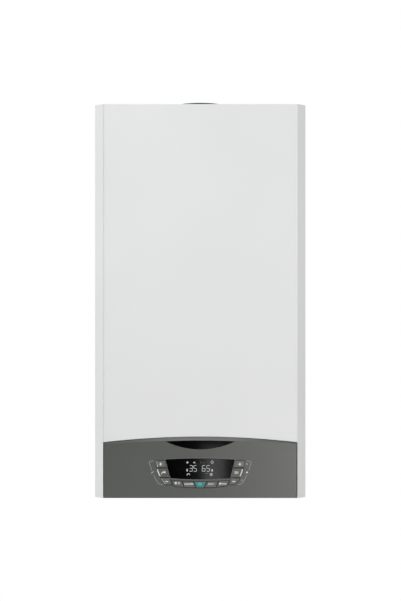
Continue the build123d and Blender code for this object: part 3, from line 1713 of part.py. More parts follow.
with BuildPart() as water_pipes:
    bent_tube(flow_route, 2 * pipe_radius, pipe_radius, pipe_wall)
    bent_tube(return_route, pipe_radius + 2 * pipe_wall, pipe_radius, pipe_wall)
    bent_tube(vessel_route, vessel_pipe_bend, vessel_pipe_radius, pipe_wall)
finish(water_pipes, "water_pipes")

gas_route = (
    at(0, connection_depth, manifold_bottom),
    at(0, connection_depth, gas_turn_height),
    at(gas_inlet_x, gas_inlet_depth, gas_turn_height),
    at(gas_inlet_x, gas_inlet_depth, gas_valve_bottom + pipe_insert),
)

with BuildPart() as gas_pipe:
    bent_tube(gas_route, pipe_bend, gas_pipe_radius, pipe_wall)
finish(gas_pipe, "gas_pipe")

hose_route = (
    at(0, condensate_depth, spigot_bottom + pipe_insert),
    at(0, condensate_depth, hose_turn_height),
    at(trap_x, trap_depth, hose_turn_height),
    at(trap_x, trap_depth, trap_top - pipe_insert),
)

with BuildPart() as condensate_drain:
    bar_up(trap_x, trap_depth, (trap_bottom, trap_top), trap_radius)
    fillet(condensate_drain.edges().group_by(Axis.Z)[0], radius=4 * bend_radius)
    bar_up(trap_x, trap_depth, (trap_top - pipe_insert, trap_top), trap_radius + fan_wall)
    bar_up(trap_x, trap_depth, (trap_outlet_bottom, trap_bottom + pipe_insert), trap_outlet_radius)
    bar_up(
        trap_x,
        trap_depth,
        (trap_outlet_bottom, trap_bottom + pipe_insert),
        trap_outlet_radius - duct_wall,
        Mode.SUBTRACT,
    )
    bar_up(
        trap_x,
        trap_depth,
        (trap_bottom + 2 * duct_wall, trap_top - duct_wall),
        trap_radius - duct_wall,
        Mode.SUBTRACT,
    )
    bar_up(trap_x, trap_depth, (trap_top - duct_wall, trap_top), hose_radius + pipe_gap, Mode.SUBTRACT)
    bent_tube(hose_route, 2 * hose_radius, hose_radius, pipe_wall)
finish(condensate_drain, "condensate_drain")

lead_start_height = gas_valve_top + coil_can_height
lead_x = electrode_spots[0][0]
lead_height = electrode_spots[0][1]
lead_plug = door_front + electrode_length

lead_up = lead_start_height + 1.5 * lead_bend
lead_front = lead_plug + 2 * lead_radius
lead_route = (
    at(gas_inlet_x - coil_can_radius, can_depth, lead_start_height),
    at(gas_inlet_x - coil_can_radius, can_depth, lead_up),
    at(gas_inlet_x - coil_can_radius, lead_front, lead_up),
    at(lead_x, lead_front, lead_height - 2 * lead_radius),
)

with BuildPart() as ignition_lead:
    bent_tube(lead_route, lead_bend, lead_radius, 0)
    plug_depths = (lead_plug, lead_plug + 4 * lead_radius)
    bar_forward(lead_x, lead_height, plug_depths, electrode_radius + duct_wall)
finish(ignition_lead, "ignition_lead")
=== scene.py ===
import math

import bmesh
import bpy
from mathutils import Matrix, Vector


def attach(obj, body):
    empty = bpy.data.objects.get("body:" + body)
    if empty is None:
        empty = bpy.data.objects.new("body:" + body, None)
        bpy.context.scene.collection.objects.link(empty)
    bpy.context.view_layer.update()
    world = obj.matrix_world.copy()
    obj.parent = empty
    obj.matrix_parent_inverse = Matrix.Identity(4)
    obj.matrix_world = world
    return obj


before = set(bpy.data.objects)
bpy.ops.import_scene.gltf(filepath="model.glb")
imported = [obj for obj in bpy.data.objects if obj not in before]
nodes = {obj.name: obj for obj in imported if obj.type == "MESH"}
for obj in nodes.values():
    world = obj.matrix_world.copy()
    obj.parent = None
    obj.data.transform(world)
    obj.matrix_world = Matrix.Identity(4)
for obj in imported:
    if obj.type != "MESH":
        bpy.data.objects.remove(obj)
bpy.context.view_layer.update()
bpy.context.scene.view_settings.view_transform = "Standard"
print("frame loaded:", len(nodes), "nodes")

# places are in mm across, mm above the casing's foot and mm out from the wall
screwLine = 685.0  # height of the wall screws, where the frame's origin lies
faceDepth = 319.0  # flat of the control panel and its glass
badgeDepth = 319.2
keyDepth = 319.6


def spot(x, height, depth):
    return Vector((x / 1000, -depth / 1000, (height - screwLine) / 1000))


def linearRgb(hexColour):
    channels = [int(hexColour[i : i + 2], 16) / 255 for i in (1, 3, 5)]
    return [c / 12.92 if c <= 0.04045 else ((c + 0.055) / 1.055) ** 2.4 for c in channels] + [1.0]


def addNode(tree, kind, inputs=None, links=None, **settings):
    node = tree.nodes.new("ShaderNode" + kind)
    for name, value in settings.items():
        setattr(node, name, value)
    for name, value in (inputs or {}).items():
        node.inputs[name].default_value = value
    for name, source in (links or {}).items():
        tree.links.new(source, node.inputs[name])
    return node


def startFinish(name, look):
    finish = bpy.data.materials.new(name)
    finish.use_nodes = True
    tree = finish.node_tree
    shader = tree.nodes["Principled BSDF"]
    shader.inputs["Metallic"].default_value = look.get("metallic", 0.0)
    if "ior" in look:
        shader.inputs["IOR"].default_value = look["ior"]
    if "coat" in look:
        shader.inputs["Coat Weight"].default_value = look["coat"]
        shader.inputs["Coat Roughness"].default_value = look["coatRoughness"]
    place = addNode(tree, "TexCoord").outputs["Object"]
    if "stretch" in look:  # lengthens the grain along the way the metal was drawn or brushed
        place = addNode(
            tree, "Mapping", {"Scale": look["stretch"]}, {"Vector": place}
        ).outputs["Vector"]
    return finish, tree, shader, place


# nearly all of a noise texture's values lie between these
noiseReach = {"patches": (0.35, 0.65), "grain": (0.3, 0.7)}


def dress(tree, shader, place, look):
    # slow patches shift the colour, fine grain shifts the gloss and stands up as relief
    patches = addNode(
        tree, "TexNoise", {"Scale": 1000 / look["patchMm"], "Detail": 2.0}, {"Vector": place}
    ).outputs["Fac"]
    grain = addNode(
        tree, "TexNoise", {"Scale": 1000 / look["grainMm"], "Detail": look.get("grainDetail", 2.0)},
        {"Vector": place},
    ).outputs["Fac"]
    low, high = noiseReach["patches"]
    shade = addNode(tree, "MapRange", {"From Min": low, "From Max": high}, {"Value": patches})
    colour = addNode(
        tree, "Mix", {6: linearRgb(look["colour"]), 7: linearRgb(look["colourTwo"])},
        {0: shade.outputs[0]}, data_type="RGBA",
    ).outputs[2]
    low, high = noiseReach["grain"]
    smooth, rough = look["roughness"]
    gloss = addNode(
        tree, "MapRange", {"From Min": low, "From Max": high, "To Min": smooth, "To Max": rough},
        {"Value": grain},
    ).outputs[0]
    strength = look.get("reliefStrength", 0.5)
    relief = addNode(
        tree, "Bump", {"Strength": strength, "Distance": look["grainDeepMm"] / 1000}, {"Height": grain}
    ).outputs["Normal"]
    tree.links.new(colour, shader.inputs["Base Color"])
    tree.links.new(gloss, shader.inputs["Roughness"])
    tree.links.new(relief, shader.inputs["Normal"])
    return colour


# powder coated steel: a satin skin with the fine orange peel of baked powder
powderCoat = {
    "colour": "#e1e2e2", "colourTwo": "#dedfdf", "patchMm": 320.0, "grainMm": 1.9,
    "grainDeepMm": 0.02, "roughness": (0.38, 0.46), "ior": 1.5,
}

# moulded ABS: the fascia's spark-eroded tool leaves an even matt grain, drawn at 0.9 mm
# because the real 0.3 mm grain is under a pixel
mouldedAbs = {
    "fascia": {
        "colour": "#585a56", "colourTwo": "#545652", "patchMm": 140.0, "grainMm": 0.9,
        "grainDeepMm": 0.02, "roughness": (0.27, 0.35), "ior": 1.53,
    },
    "tray": {
        "colour": "#6b6d6e", "colourTwo": "#646667", "patchMm": 90.0, "grainMm": 1.2,
        "grainDeepMm": 0.04, "roughness": (0.45, 0.6), "ior": 1.53,
    },
    "key": {
        "colour": "#63645f", "colourTwo": "#5e5f5b", "patchMm": 20.0, "grainMm": 0.7,
        "grainDeepMm": 0.02, "roughness": (0.34, 0.42), "ior": 1.53,
    },
    # paler than the fascia: a painted highlight for the bead round the glass
    "highlightBead": {
        "colour": "#70716d", "colourTwo": "#6b6c68", "patchMm": 60.0, "grainMm": 0.9,
        "grainDeepMm": 0.02, "roughness": (0.3, 0.38), "ior": 1.53,
    },
    "tealKey": {
        "colour": "#41827f", "colourTwo": "#3a7673", "patchMm": 12.0, "grainMm": 0.7,
        "grainDeepMm": 0.02, "roughness": (0.3, 0.4), "ior": 1.53,
    },
    "redKnob": {
        "colour": "#b3231c", "colourTwo": "#a21d18", "patchMm": 18.0, "grainMm": 0.8,
        "grainDeepMm": 0.03, "roughness": (0.32, 0.44), "ior": 1.53,
    },
    "blueKnob": {
        "colour": "#2450a4", "colourTwo": "#1f4796", "patchMm": 18.0, "grainMm": 0.8,
        "grainDeepMm": 0.03, "roughness": (0.32, 0.44), "ior": 1.53,
    },
}


def plainFinish(name, look):
    finish, tree, shader, place = startFinish(name, look)
    dress(tree, shader, place, look)
    return finish


def galvanisedSheet(name):
    # hot-dip galvanised steel: zinc crystals 9 mm wide that catch the light one by one
    look = {
        "metallic": 1.0, "colour": "#b9bdbf", "colourTwo": "#a4a8ab", "patchMm": 120.0,
        "grainMm": 2.5, "grainDeepMm": 0.02, "roughness": (0.34, 0.5), "spangleMm": 9.0,
        "darkestSpangle": 0.78,
    }
    finish, tree, shader, place = startFinish(name, look)
    colour = dress(tree, shader, place, look)
    cells = addNode(tree, "TexVoronoi", {"Scale": 1000 / look["spangleMm"]}, {"Vector": place})
    tone = addNode(tree, "SeparateColor", links={0: cells.outputs["Color"]}).outputs[0]
    shade = addNode(
        tree, "MapRange", {"To Min": look["darkestSpangle"], "To Max": 1.0}, {"Value": tone}
    ).outputs[0]
    spangle = addNode(
        tree, "Mix", {0: 1.0}, {6: colour, 7: shade}, data_type="RGBA", blend_type="MULTIPLY"
    ).outputs[2]
    gloss = addNode(
        tree, "MapRange", {"To Min": look["roughness"][0], "To Max": look["roughness"][1]},
        {"Value": tone},
    ).outputs[0]
    tree.links.new(spangle, shader.inputs["Base Color"])
    tree.links.new(gloss, shader.inputs["Roughness"])
    return finish


# bare and plated metals, each with the marks of how it was made
metalLooks = {
    "brushedStainless": {  # brushed stainless steel: long fine lines across the part
        "metallic": 1.0, "colour": "#b4b6b7", "colourTwo": "#a9abad", "patchMm": 80.0, "grainMm": 0.9,
        "grainDeepMm": 0.01, "roughness": (0.24, 0.4), "stretch": (0.06, 1.0, 1.0),
    },
    "sandCastAluminium": {  # cast aluminium: dull, slightly pitted skin
        "metallic": 1.0, "colour": "#b2b4b6", "colourTwo": "#a2a4a6", "patchMm": 40.0, "grainMm": 1.6,
        "grainDeepMm": 0.12, "roughness": (0.42, 0.62), "grainDetail": 4.0,
    },
    "zincPlatedSteel": {  # zinc plated screw: bright with a faint yellow passivation
        "metallic": 1.0, "colour": "#c9c4ae", "colourTwo": "#bdb9a8", "patchMm": 6.0, "grainMm": 0.6,
        "grainDeepMm": 0.01, "roughness": (0.25, 0.38),
    },
    "turnedBrass": {  # hot-pressed and turned brass: warm, with dull patches of handling
        "metallic": 1.0, "colour": "#c9a45c", "colourTwo": "#b08c4b", "patchMm": 22.0, "grainMm": 1.1,
        "grainDeepMm": 0.05, "roughness": (0.28, 0.46), "grainDetail": 3.0,
    },
    "drawnCopper": {  # drawn copper tube: pink metal gone brown in patches, lines along the draw
        "metallic": 1.0, "colour": "#c98b6b", "colourTwo": "#a9674a", "patchMm": 34.0, "grainMm": 0.8,
        "grainDeepMm": 0.01, "roughness": (0.26, 0.44), "stretch": (1.0, 1.0, 0.1),
    },
}

# stove enamelled pressings: hard gloss over a faint orange peel
enamelLooks = {
    "redEnamel": {
        "colour": "#a3231d", "colourTwo": "#98201b", "patchMm": 120.0, "grainMm": 2.4,
        "grainDeepMm": 0.03, "roughness": (0.22, 0.32), "ior": 1.5, "coat": 0.4, "coatRoughness": 0.1,
    },
    "greenMotorPaint": {
        "colour": "#2f6b50", "colourTwo": "#285f47", "patchMm": 40.0, "grainMm": 2.0,
        "grainDeepMm": 0.06, "roughness": (0.3, 0.42), "ior": 1.5,
    },
}

# other mouldings, told apart by their grain and gloss
plasticLooks = {
    "whitePolypropylene": {  # natural polypropylene: milky and a little waxy
        "colour": "#dcdcd6", "colourTwo": "#d3d3cb", "patchMm": 40.0, "grainMm": 1.4,
        "grainDeepMm": 0.03, "roughness": (0.34, 0.5), "ior": 1.49,
    },
    "blackPolyamide": {  # black polyamide: deep, with a silky grain
        "colour": "#2b2c2e", "colourTwo": "#242527", "patchMm": 60.0, "grainMm": 1.1,
        "grainDeepMm": 0.04, "roughness": (0.42, 0.56), "ior": 1.53,
    },
    "flueCollarPolypropylene": {  # flue collar: matt black with a coarse grain
        "colour": "#26272a", "colourTwo": "#202124", "patchMm": 50.0, "grainMm": 1.5,
        "grainDeepMm": 0.05, "roughness": (0.5, 0.62), "ior": 1.49,
    },
    "glassFilledPolyamide": {  # glass filled composite: grey-black with pale fibre streaks
        "colour": "#3b3c3e", "colourTwo": "#4a4b4d", "patchMm": 3.0, "grainMm": 0.9,
        "grainDeepMm": 0.06, "roughness": (0.45, 0.62), "ior": 1.53, "stretch": (1.0, 1.0, 0.35),
    },
    "redSilicone": {  # extruded silicone lead: soft sheen, dusty
        "colour": "#a8432f", "colourTwo": "#9c3d2b", "patchMm": 20.0, "grainMm": 0.9,
        "grainDeepMm": 0.02, "roughness": (0.5, 0.62), "ior": 1.43,
    },
    "glazedAlumina": {  # glazed ceramic: smooth ivory white
        "colour": "#e8e5dc", "colourTwo": "#e1ddd2", "patchMm": 10.0, "grainMm": 1.6,
        "grainDeepMm": 0.01, "roughness": (0.12, 0.2), "ior": 1.6,
    },
}

# polished black acrylic: near black and mirror smooth, with faint wiping marks in the gloss
polishedAcrylic = {
    "colour": "#040405", "colourTwo": "#030304", "patchMm": 60.0, "grainMm": 26.0,
    "grainDeepMm": 0.001, "roughness": (0.06, 0.09), "ior": 1.49, "reliefStrength": 0.2,
}


def cutFoam(name):
    # EPDM foam cut from sheet: matt black, with its cut cells showing as pores 1.2 mm wide
    look = {
        "colour": "#2a2a2b", "colourTwo": "#202021", "patchMm": 30.0, "grainMm": 2.0,
        "grainDeepMm": 0.2, "roughness": (0.75, 0.9), "ior": 1.5, "cellMm": 1.2,
        "cellDeepMm": 0.4, "cellStrength": 0.8,
    }
    finish, tree, shader, place = startFinish(name, look)
    dress(tree, shader, place, look)
    cells = addNode(tree, "TexVoronoi", {"Scale": 1000 / look["cellMm"]}, {"Vector": place})
    pores = addNode(
        tree, "Bump", {"Strength": look["cellStrength"], "Distance": look["cellDeepMm"] / 1000},
        {"Height": cells.outputs["Distance"]},
    )
    tree.links.new(pores.outputs["Normal"], shader.inputs["Normal"])
    return finish


def solderMask(name):
    # printed circuit board: green solder mask, paler where copper tracks lie under it every 2.5 mm
    look = {
        "colour": "#1f6b3c", "colourTwo": "#1a6036", "patchMm": 30.0, "grainMm": 1.0,
        "grainDeepMm": 0.02, "roughness": (0.28, 0.4), "ior": 1.55, "pitchMm": 2.5, "trackMm": 0.3125,
        "runMm": 15.0, "trackColour": "#3f8f58",
    }
    finish, tree, shader, place = startFinish(name, look)
    colour = dress(tree, shader, place, look)
    black, white = linearRgb("#000000"), linearRgb("#ffffff")
    turned = addNode(tree, "Mapping", {"Rotation": (math.pi / 2, 0, 0)}, {"Vector": place})
    tracks = addNode(
        tree, "TexBrick",
        {"Scale": 1.0, "Mortar Size": look["trackMm"] / 1000, "Brick Width": look["runMm"] / 1000,
         "Row Height": look["pitchMm"] / 1000, "Color1": black, "Color2": black, "Mortar": white},
        {"Vector": turned.outputs["Vector"]}, offset=0.5,
    )
    tracked = addNode(
        tree, "Mix", {7: linearRgb(look["trackColour"])}, {0: tracks.outputs["Fac"], 6: colour},
        data_type="RGBA",
    ).outputs[2]
    tree.links.new(tracked, shader.inputs["Base Color"])
    return finish


def mattSkin(name, hexColour):
    # one even colour, flat and matt, with the fine grain of the moulding that it lies on or is
    look = {
        "colour": hexColour, "colourTwo": hexColour, "patchMm": 20.0, "grainMm": 0.8,
        "grainDeepMm": 0.02, "roughness": (0.5, 0.6), "ior": 1.5,
    }
    return plainFinish(name, look)


def litSegments(name, hexColour, glow):
    # lit liquid crystal segments: an even pale glow behind the black panel
    look = {
        "colour": hexColour, "colourTwo": hexColour, "patchMm": 8.0, "grainMm": 1.0,
        "grainDeepMm": 0.001, "roughness": (0.3, 0.36), "ior": 1.5,
    }
    finish, tree, shader, place = startFinish(name, look)
    colour = dress(tree, shader, place, look)
    tree.links.new(colour, shader.inputs["Emission Color"])
    shader.inputs["Emission Strength"].default_value = glow
    return finish


finishOfSlot = {
    "white_enamel": plainFinish("powderCoatedSteel", powderCoat),
    "galvanised": galvanisedSheet("galvanisedSteel"),
    "fascia_grey": plainFinish("mouldedAbsFascia", mouldedAbs["fascia"]),
    "tray_grey": plainFinish("mouldedAbsTray", mouldedAbs["tray"]),
    "badge_black": plainFinish("polishedAcrylicBadge", polishedAcrylic),
    "display_black": plainFinish("polishedAcrylicDisplay", polishedAcrylic),
    "key_grey": plainFinish("mouldedAbsKey", mouldedAbs["key"]),
    "key_teal": plainFinish("mouldedAbsTealKey", mouldedAbs["tealKey"]),
    "board_green": solderMask("solderMaskedBoard"),
    "collar_black": plainFinish("mouldedFlueCollar", plasticLooks["flueCollarPolypropylene"]),
    "seal_foam": cutFoam("cutEpdmFoam"),
    "zinc_screw": plainFinish("zincPlatedSteel", metalLooks["zincPlatedSteel"]),
    "steel": plainFinish("brushedStainless", metalLooks["brushedStainless"]),
    "cast_aluminium": plainFinish("sandCastAluminium", metalLooks["sandCastAluminium"]),
    "vessel_red": plainFinish("stovedRedEnamel", enamelLooks["redEnamel"]),
    "brass": plainFinish("turnedBrass", metalLooks["turnedBrass"]),
    "copper": plainFinish("drawnCopper", metalLooks["drawnCopper"]),
    "plastic_white": plainFinish("mouldedPolypropylene", plasticLooks["whitePolypropylene"]),
    "plastic_black": plainFinish("mouldedBlackPolyamide", plasticLooks["blackPolyamide"]),
    "knob_red": plainFinish("mouldedRedKnob", mouldedAbs["redKnob"]),
    "knob_blue": plainFinish("mouldedBlueKnob", mouldedAbs["blueKnob"]),
    "composite": plainFinish("glassFilledPolyamide", plasticLooks["glassFilledPolyamide"]),
    "motor_green": plainFinish("greenMotorPaint", enamelLooks["greenMotorPaint"]),
    "ceramic": plainFinish("glazedAlumina", plasticLooks["glazedAlumina"]),
    "lead_silicone": plainFinish("extrudedSilicone", plasticLooks["redSilicone"]),
}
for node in nodes.values():
    for slot in node.material_slots:
        slot.material = finishOfSlot[slot.material.name]
print("finishes on the frame's nodes:", len(finishOfSlot))

# screen printed inks: flat films that carry the grain of the plastic under them
whiteInk = mattSkin("screenPrintedWhite", "#dcdddb")
# the grey ink is print on the panel, and also a painted highlight along the heating plus key's right
# edge
greyInkAndPaintedHighlight = mattSkin("screenPrintedGreyAndPaintedHighlight", "#a4a5a3")
tealInk = mattSkin("screenPrintedTeal", "#93c6be")
segmentLight = litSegments("litSegments", "#b4b8b8", 0.2)
faintSegment = litSegments("unlitSegments", "#5e6262", 0.05)
keyGapShadowInk = mattSkin("paintedKeyGapShadow", "#1d1e1d")  # painted shadow of the gaps round the keys: near black and dull
# the bead's paler grey is a painted highlight on the edge round the glass
beadPaintedHighlight = plainFinish("mouldedAbsBeadPaintedHighlight", mouldedAbs["highlightBead"])

# printed and lit marks are thin raised films, drawn from lines, rings and plates
leastMitre = 0.5  # keeps the corner of a sharp bend from running away


def addStroke(shape, points, width, depth, thick, closed=False):
    count = len(points)
    rings = []
    for i, point in enumerate(points):
        here = Vector(point)
        ways = []
        if closed or i > 0:
            ways.append((here - Vector(points[i - 1])).normalized())
        if closed or i < count - 1:
            ways.append((Vector(points[(i + 1) % count]) - here).normalized())
        along = sum(ways, Vector((0, 0))).normalized()
        side = Vector((-along.y, along.x))
        reach = width / 2 / max(leastMitre, abs(side.x * -ways[0].y + side.y * ways[0].x))
        left, right = here + side * reach, here - side * reach
        front, back = depth + thick, depth
        rings.append([
            shape.verts.new(spot(edge.x, edge.y, out))
            for edge, out in ((left, front), (right, front), (right, back), (left, back))
        ])
    for i in range(count if closed else count - 1):
        ringA, ringB = rings[i], rings[(i + 1) % count]
        for k in range(4):
            shape.faces.new((ringA[k], ringA[(k + 1) % 4], ringB[(k + 1) % 4], ringB[k]))
    if not closed:
        shape.faces.new(rings[0])
        shape.faces.new(rings[-1][::-1])


def addPlate(shape, outline, depth, thick):
    front = [shape.verts.new(spot(x, height, depth + thick)) for x, height in outline]
    back = [shape.verts.new(spot(x, height, depth)) for x, height in outline]
    shape.faces.new(front)
    shape.faces.new(back[::-1])
    for i in range(len(outline)):
        j = (i + 1) % len(outline)
        shape.faces.new((front[i], front[j], back[j], back[i]))


def addObject(name, shape, finish):
    mesh = bpy.data.meshes.new(name)
    shape.to_mesh(mesh)
    shape.free()
    mesh.materials.append(finish)
    thing = bpy.data.objects.new(name, mesh)
    bpy.context.scene.collection.objects.link(thing)
    return thing


def layMarks(name, body, finish, depth, strokes=(), rings=(), plates=(), centre=(0, 0), film=0.05):
    shape = bmesh.new()

    def placed(points):
        return [(x + centre[0], height + centre[1]) for x, height in points]

    for points, width in strokes:
        addStroke(shape, placed(points), width, depth, film)
    for points, width in rings:
        addStroke(shape, placed(points), width, depth, film, closed=True)
    for outline in plates:
        addPlate(shape, placed(outline), depth, film)
    bmesh.ops.recalc_face_normals(shape, faces=shape.faces)
    piece = addObject(name, shape, finish)
    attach(piece, body)


def arcPoints(x, height, radius, start, end, steps=24):
    turns = [math.radians(start + (end - start) * i / steps) for i in range(steps + 1)]
    return [(x + radius * math.cos(t), height + radius * math.sin(t)) for t in turns]


def discPoints(x, height, radius, count=24):
    return arcPoints(x, height, radius, 0, 360 - 360 / count, count - 1)


def archLine(halfWidth, middleHeight, endHeight, steps=16):
    # a shallow arch from left to right, given below as its half width, middle height and end height
    ways = [2 * i / steps - 1 for i in range(steps + 1)]
    return [(halfWidth * t, middleHeight + (endHeight - middleHeight) * t * t) for t in ways]


def barOutline(x, height, width, tall):
    # given below as its middle and its size
    left, right, foot, top = x - width / 2, x + width / 2, height - tall / 2, height + tall / 2
    return [(left, foot), (right, foot), (right, top), (left, top)]


def onSide(side, points):
    # side is -1 for the left half and 1 for the right
    return [(side * x, height) for x, height in points]


# plus and minus, in mm round the middle of each key
keySymbols = {"arm": 2.7, "stroke": 1.5, "plusAt": (74.8, 64.7), "minusAt": (63.3, 31.9)}
arm, half = keySymbols["arm"], keySymbols["stroke"] / 2
crossOutline = [(-half, -arm), (half, -arm), (half, -half), (arm, -half), (arm, half), (half, half),
                (half, arm), (-half, arm), (-half, half), (-arm, half), (-arm, -half), (-half, -half)]
dashOutline = barOutline(0, 0, 2 * arm, 2 * half)
for side, label in ((-1, "water"), (1, "heating")):
    for sign, outline in (("plus", crossOutline), ("minus", dashOutline)):
        x, height = keySymbols[sign + "At"]
        layMarks(label + sign.title() + "Mark", label + "_" + sign + "_key", whiteInk, keyDepth,
                 plates=[outline], centre=(side * x, height))

# row keys: a small picture on each instead of words, in mm round its own place
rowLine = 0.85

mode = {
    "at": (-46.2, 28.9), "dot": (0, 0, 2.1), "starAt": 5.9, "starReach": 2.0, "starTurns": (0, 60, 120),
}
star = []
for turn in mode["starTurns"]:
    across = mode["starReach"] * math.cos(math.radians(turn))
    rise = mode["starReach"] * math.sin(math.radians(turn))
    star.append(([(mode["starAt"] + across, rise), (mode["starAt"] - across, -rise)], rowLine))
layMarks("modeMark", "mode_key", whiteInk, keyDepth, centre=mode["at"],
         strokes=star, plates=[discPoints(*mode["dot"])])

comfort = {
    "at": (-21.9, 27.1), "bars": range(-3, 3), "pitch": 2.35, "rise": 0.05, "bar": (1.25, 2.9),
    "ring": (7.1675, 0.1, 1.1),
}
bars = [barOutline(comfort["pitch"] * i, comfort["rise"] * i, *comfort["bar"]) for i in comfort["bars"]]
layMarks("comfortMark", "comfort_key", whiteInk, keyDepth, centre=comfort["at"],
         rings=[(discPoints(*comfort["ring"]), rowLine)], plates=bars)

power = {"at": (-0.3, 27.4), "arc": (0, -0.3, 2.5, 125, 415), "stem": [(0, 0.2), (0, 3.0)]}
layMarks("powerMark", "power_key", tealInk, keyDepth, centre=power["at"],
         strokes=[(arcPoints(*power["arc"]), rowLine), (power["stem"], rowLine)])

auto = {
    "at": (20.9, 27.2), "arc": (-3.8, 0, 1.5, 60, 350), "firstBar": -0.8, "bars": range(3),
    "pitch": 2.0, "width": 1.0, "tall": 2.9, "shorter": 0.3,
}
bars = []
for i in auto["bars"]:
    x, tall = auto["firstBar"] + auto["pitch"] * i, auto["tall"] - auto["shorter"] * i
    bars.append(barOutline(x, 0, auto["width"], tall))
layMarks("autoMark", "auto_key", whiteInk, keyDepth, centre=auto["at"],
         strokes=[(arcPoints(*auto["arc"]), rowLine)], plates=bars)

reset = {
    "at": (37.4, 28.1), "arc": (4.2, -0.6, 1.4, -60, 230), "barAt": (7.4, -0.7), "bars": range(3),
    "pitch": 2.0, "bar": (1.1, 2.5),
    "flame": [(-1.5, -1.9), (0.9, -1.9), (1.8, -0.6), (0.9, 1.0), (0.2, 2.6), (-1.3, 0.9), (-2.0, -0.6)],
}
firstX, barHeight = reset["barAt"]
bars = [barOutline(firstX + reset["pitch"] * i, barHeight, *reset["bar"]) for i in reset["bars"]]
layMarks("resetMark", "reset_key", whiteInk, keyDepth, centre=reset["at"],
         strokes=[(arcPoints(*reset["arc"]), rowLine)], plates=[reset["flame"]] + bars)
print("key marks laid")

# tap and radiator on the label cells
tap = {
    "at": (-68.9, 48.2), "body": (1.3, 1.0, 4.2, 2.8), "handle": (1.3, 3.0, 2.6, 0.6),
    "spout": [(-4.4, -2.4), (-3.9, -0.4), (-2.6, 1.0), (-0.6, 1.6)], "spoutWidth": 1.2,
}
radiator = {
    "at": (68.2, 48.6), "ribs": (-3.0, -1.5, 0.0, 1.5, 3.0), "ribWidth": 1.0, "ribReach": 2.4,
    "railAt": 1.4, "rail": (7.6, 1.0),
}
ribReach, railAt = radiator["ribReach"], radiator["railAt"]
ribs = [([(x, -ribReach), (x, ribReach)], radiator["ribWidth"]) for x in radiator["ribs"]]
rails = [barOutline(0, height, *radiator["rail"]) for height in (railAt, -railAt)]
layMarks("tapLabel", "control_panel", whiteInk, faceDepth, centre=tap["at"],
         strokes=[(tap["spout"], tap["spoutWidth"])],
         plates=[barOutline(*tap["body"]), barOutline(*tap["handle"])])
layMarks("radiatorLabel", "control_panel", whiteInk, faceDepth, centre=radiator["at"],
         strokes=ribs, plates=rails)

# the key columns' outer edge is an arc, and their inner edge runs beside the display
columns = {
    "arcX": 21.05, "arcHeight": 68.83, "arcRadius": 62.0,
    "innerX": 67.0, "innerHeight": 72.2, "innerSlope": 0.284,
    "cells": ((58.2, 71.5), (39.6, 57.0), (25.6, 38.4)),
}


def columnOuter(height):
    rise = height - columns["arcHeight"]
    return columns["arcX"] + math.sqrt(columns["arcRadius"] ** 2 - rise * rise)


def columnInner(height):
    return columns["innerX"] + columns["innerSlope"] * (height - columns["innerHeight"])


def columnStroke(low, high, lowGap, highGap, steps=8):
    # a line beside the outer edge, with one gap to it at the low end and another at the high end
    rises = [i / steps for i in range(steps + 1)]
    heights = [low + (high - low) * t for t in rises]
    return [(columnOuter(h) + lowGap + (highGap - lowGap) * t, h) for t, h in zip(rises, heights)]


# a thick line beside each column, and a thin bracket further out
accents = {
    "ends": (42.0, 54.8), "gaps": {"left": (-1.0, -0.2), "right": (-1.8, -1.8)}, "width": 1.8,
}
brackets = {
    "line": 0.72, "slash": [(93.0, 47.0), (87.9, 50.8)],
    "top": [(88.0, 70.9), (95.4, 70.0), (96.2, 68.0), (95.6, 64.6), (91.4, 53.0)],
    "foot": [(88.2, 44.1), (83.6, 35.1), (79.6, 28.9), (76.6, 26.6), (70.6, 26.1)],
}
for side, label in ((-1, "left"), (1, "right")):
    accent = columnStroke(*accents["ends"], *accents["gaps"][label])
    layMarks(label + "Accent", "control_panel", whiteInk, faceDepth,
             strokes=[(onSide(side, accent), accents["width"])])
    layMarks(label + "Bracket", "control_panel", greyInkAndPaintedHighlight, faceDepth,
             strokes=[(onSide(side, brackets[part]), brackets["line"]) for part in ("top", "foot")])

# thin lines on three of the keys; the grey one along the heating plus key's right edge is a painted
# highlight
keyAccents = {
    "waterPlusAccent": {
        "key": "water_plus_key", "ink": whiteInk, "side": -1, "ends": (59.2, 70.4),
        "gaps": (-1.7, -0.85), "width": 0.6,
    },
    # painted highlight: the light caught by this key's right edge, drawn as a grey line
    "heatingPlusEdgeHighlight": {
        "key": "heating_plus_key", "ink": greyInkAndPaintedHighlight, "side": 1, "ends": (59.8, 70.0),
        "gaps": (-1.75, -1.75), "width": 0.48,
    },
    "waterMinusAccent": {
        "key": "water_minus_key", "ink": whiteInk, "side": -1, "ends": (27.2, 37.4),
        "gaps": (-1.35, -1.35), "width": 0.6,
    },
}
for name, accent in keyAccents.items():
    stroke = columnStroke(*accent["ends"], *accent["gaps"])
    layMarks(name, accent["key"], accent["ink"], keyDepth,
             strokes=[(onSide(accent["side"], stroke), accent["width"])])

# small marks beside the brackets that show a rise and a fall
gauges = {
    "rings": [((87.9, 64.9, 1.2), 1.0), ((78.6, 33.9, 1.3), 0.6)],  # place and radius, line
    "pointer": [(86.2, 49.1), (88.3, 51.0), (90.4, 49.1), (88.3, 47.2)],
}
layMarks("bracketSlash", "control_panel", whiteInk, faceDepth,
         strokes=[(onSide(-1, brackets["slash"]), brackets["line"])])
layMarks("gaugeMarks", "control_panel", greyInkAndPaintedHighlight, faceDepth,
         rings=[(discPoints(*disc), line) for disc, line in gauges["rings"]])
layMarks("gaugePointer", "control_panel", whiteInk, faceDepth, plates=[gauges["pointer"]])
print("printed marks laid")

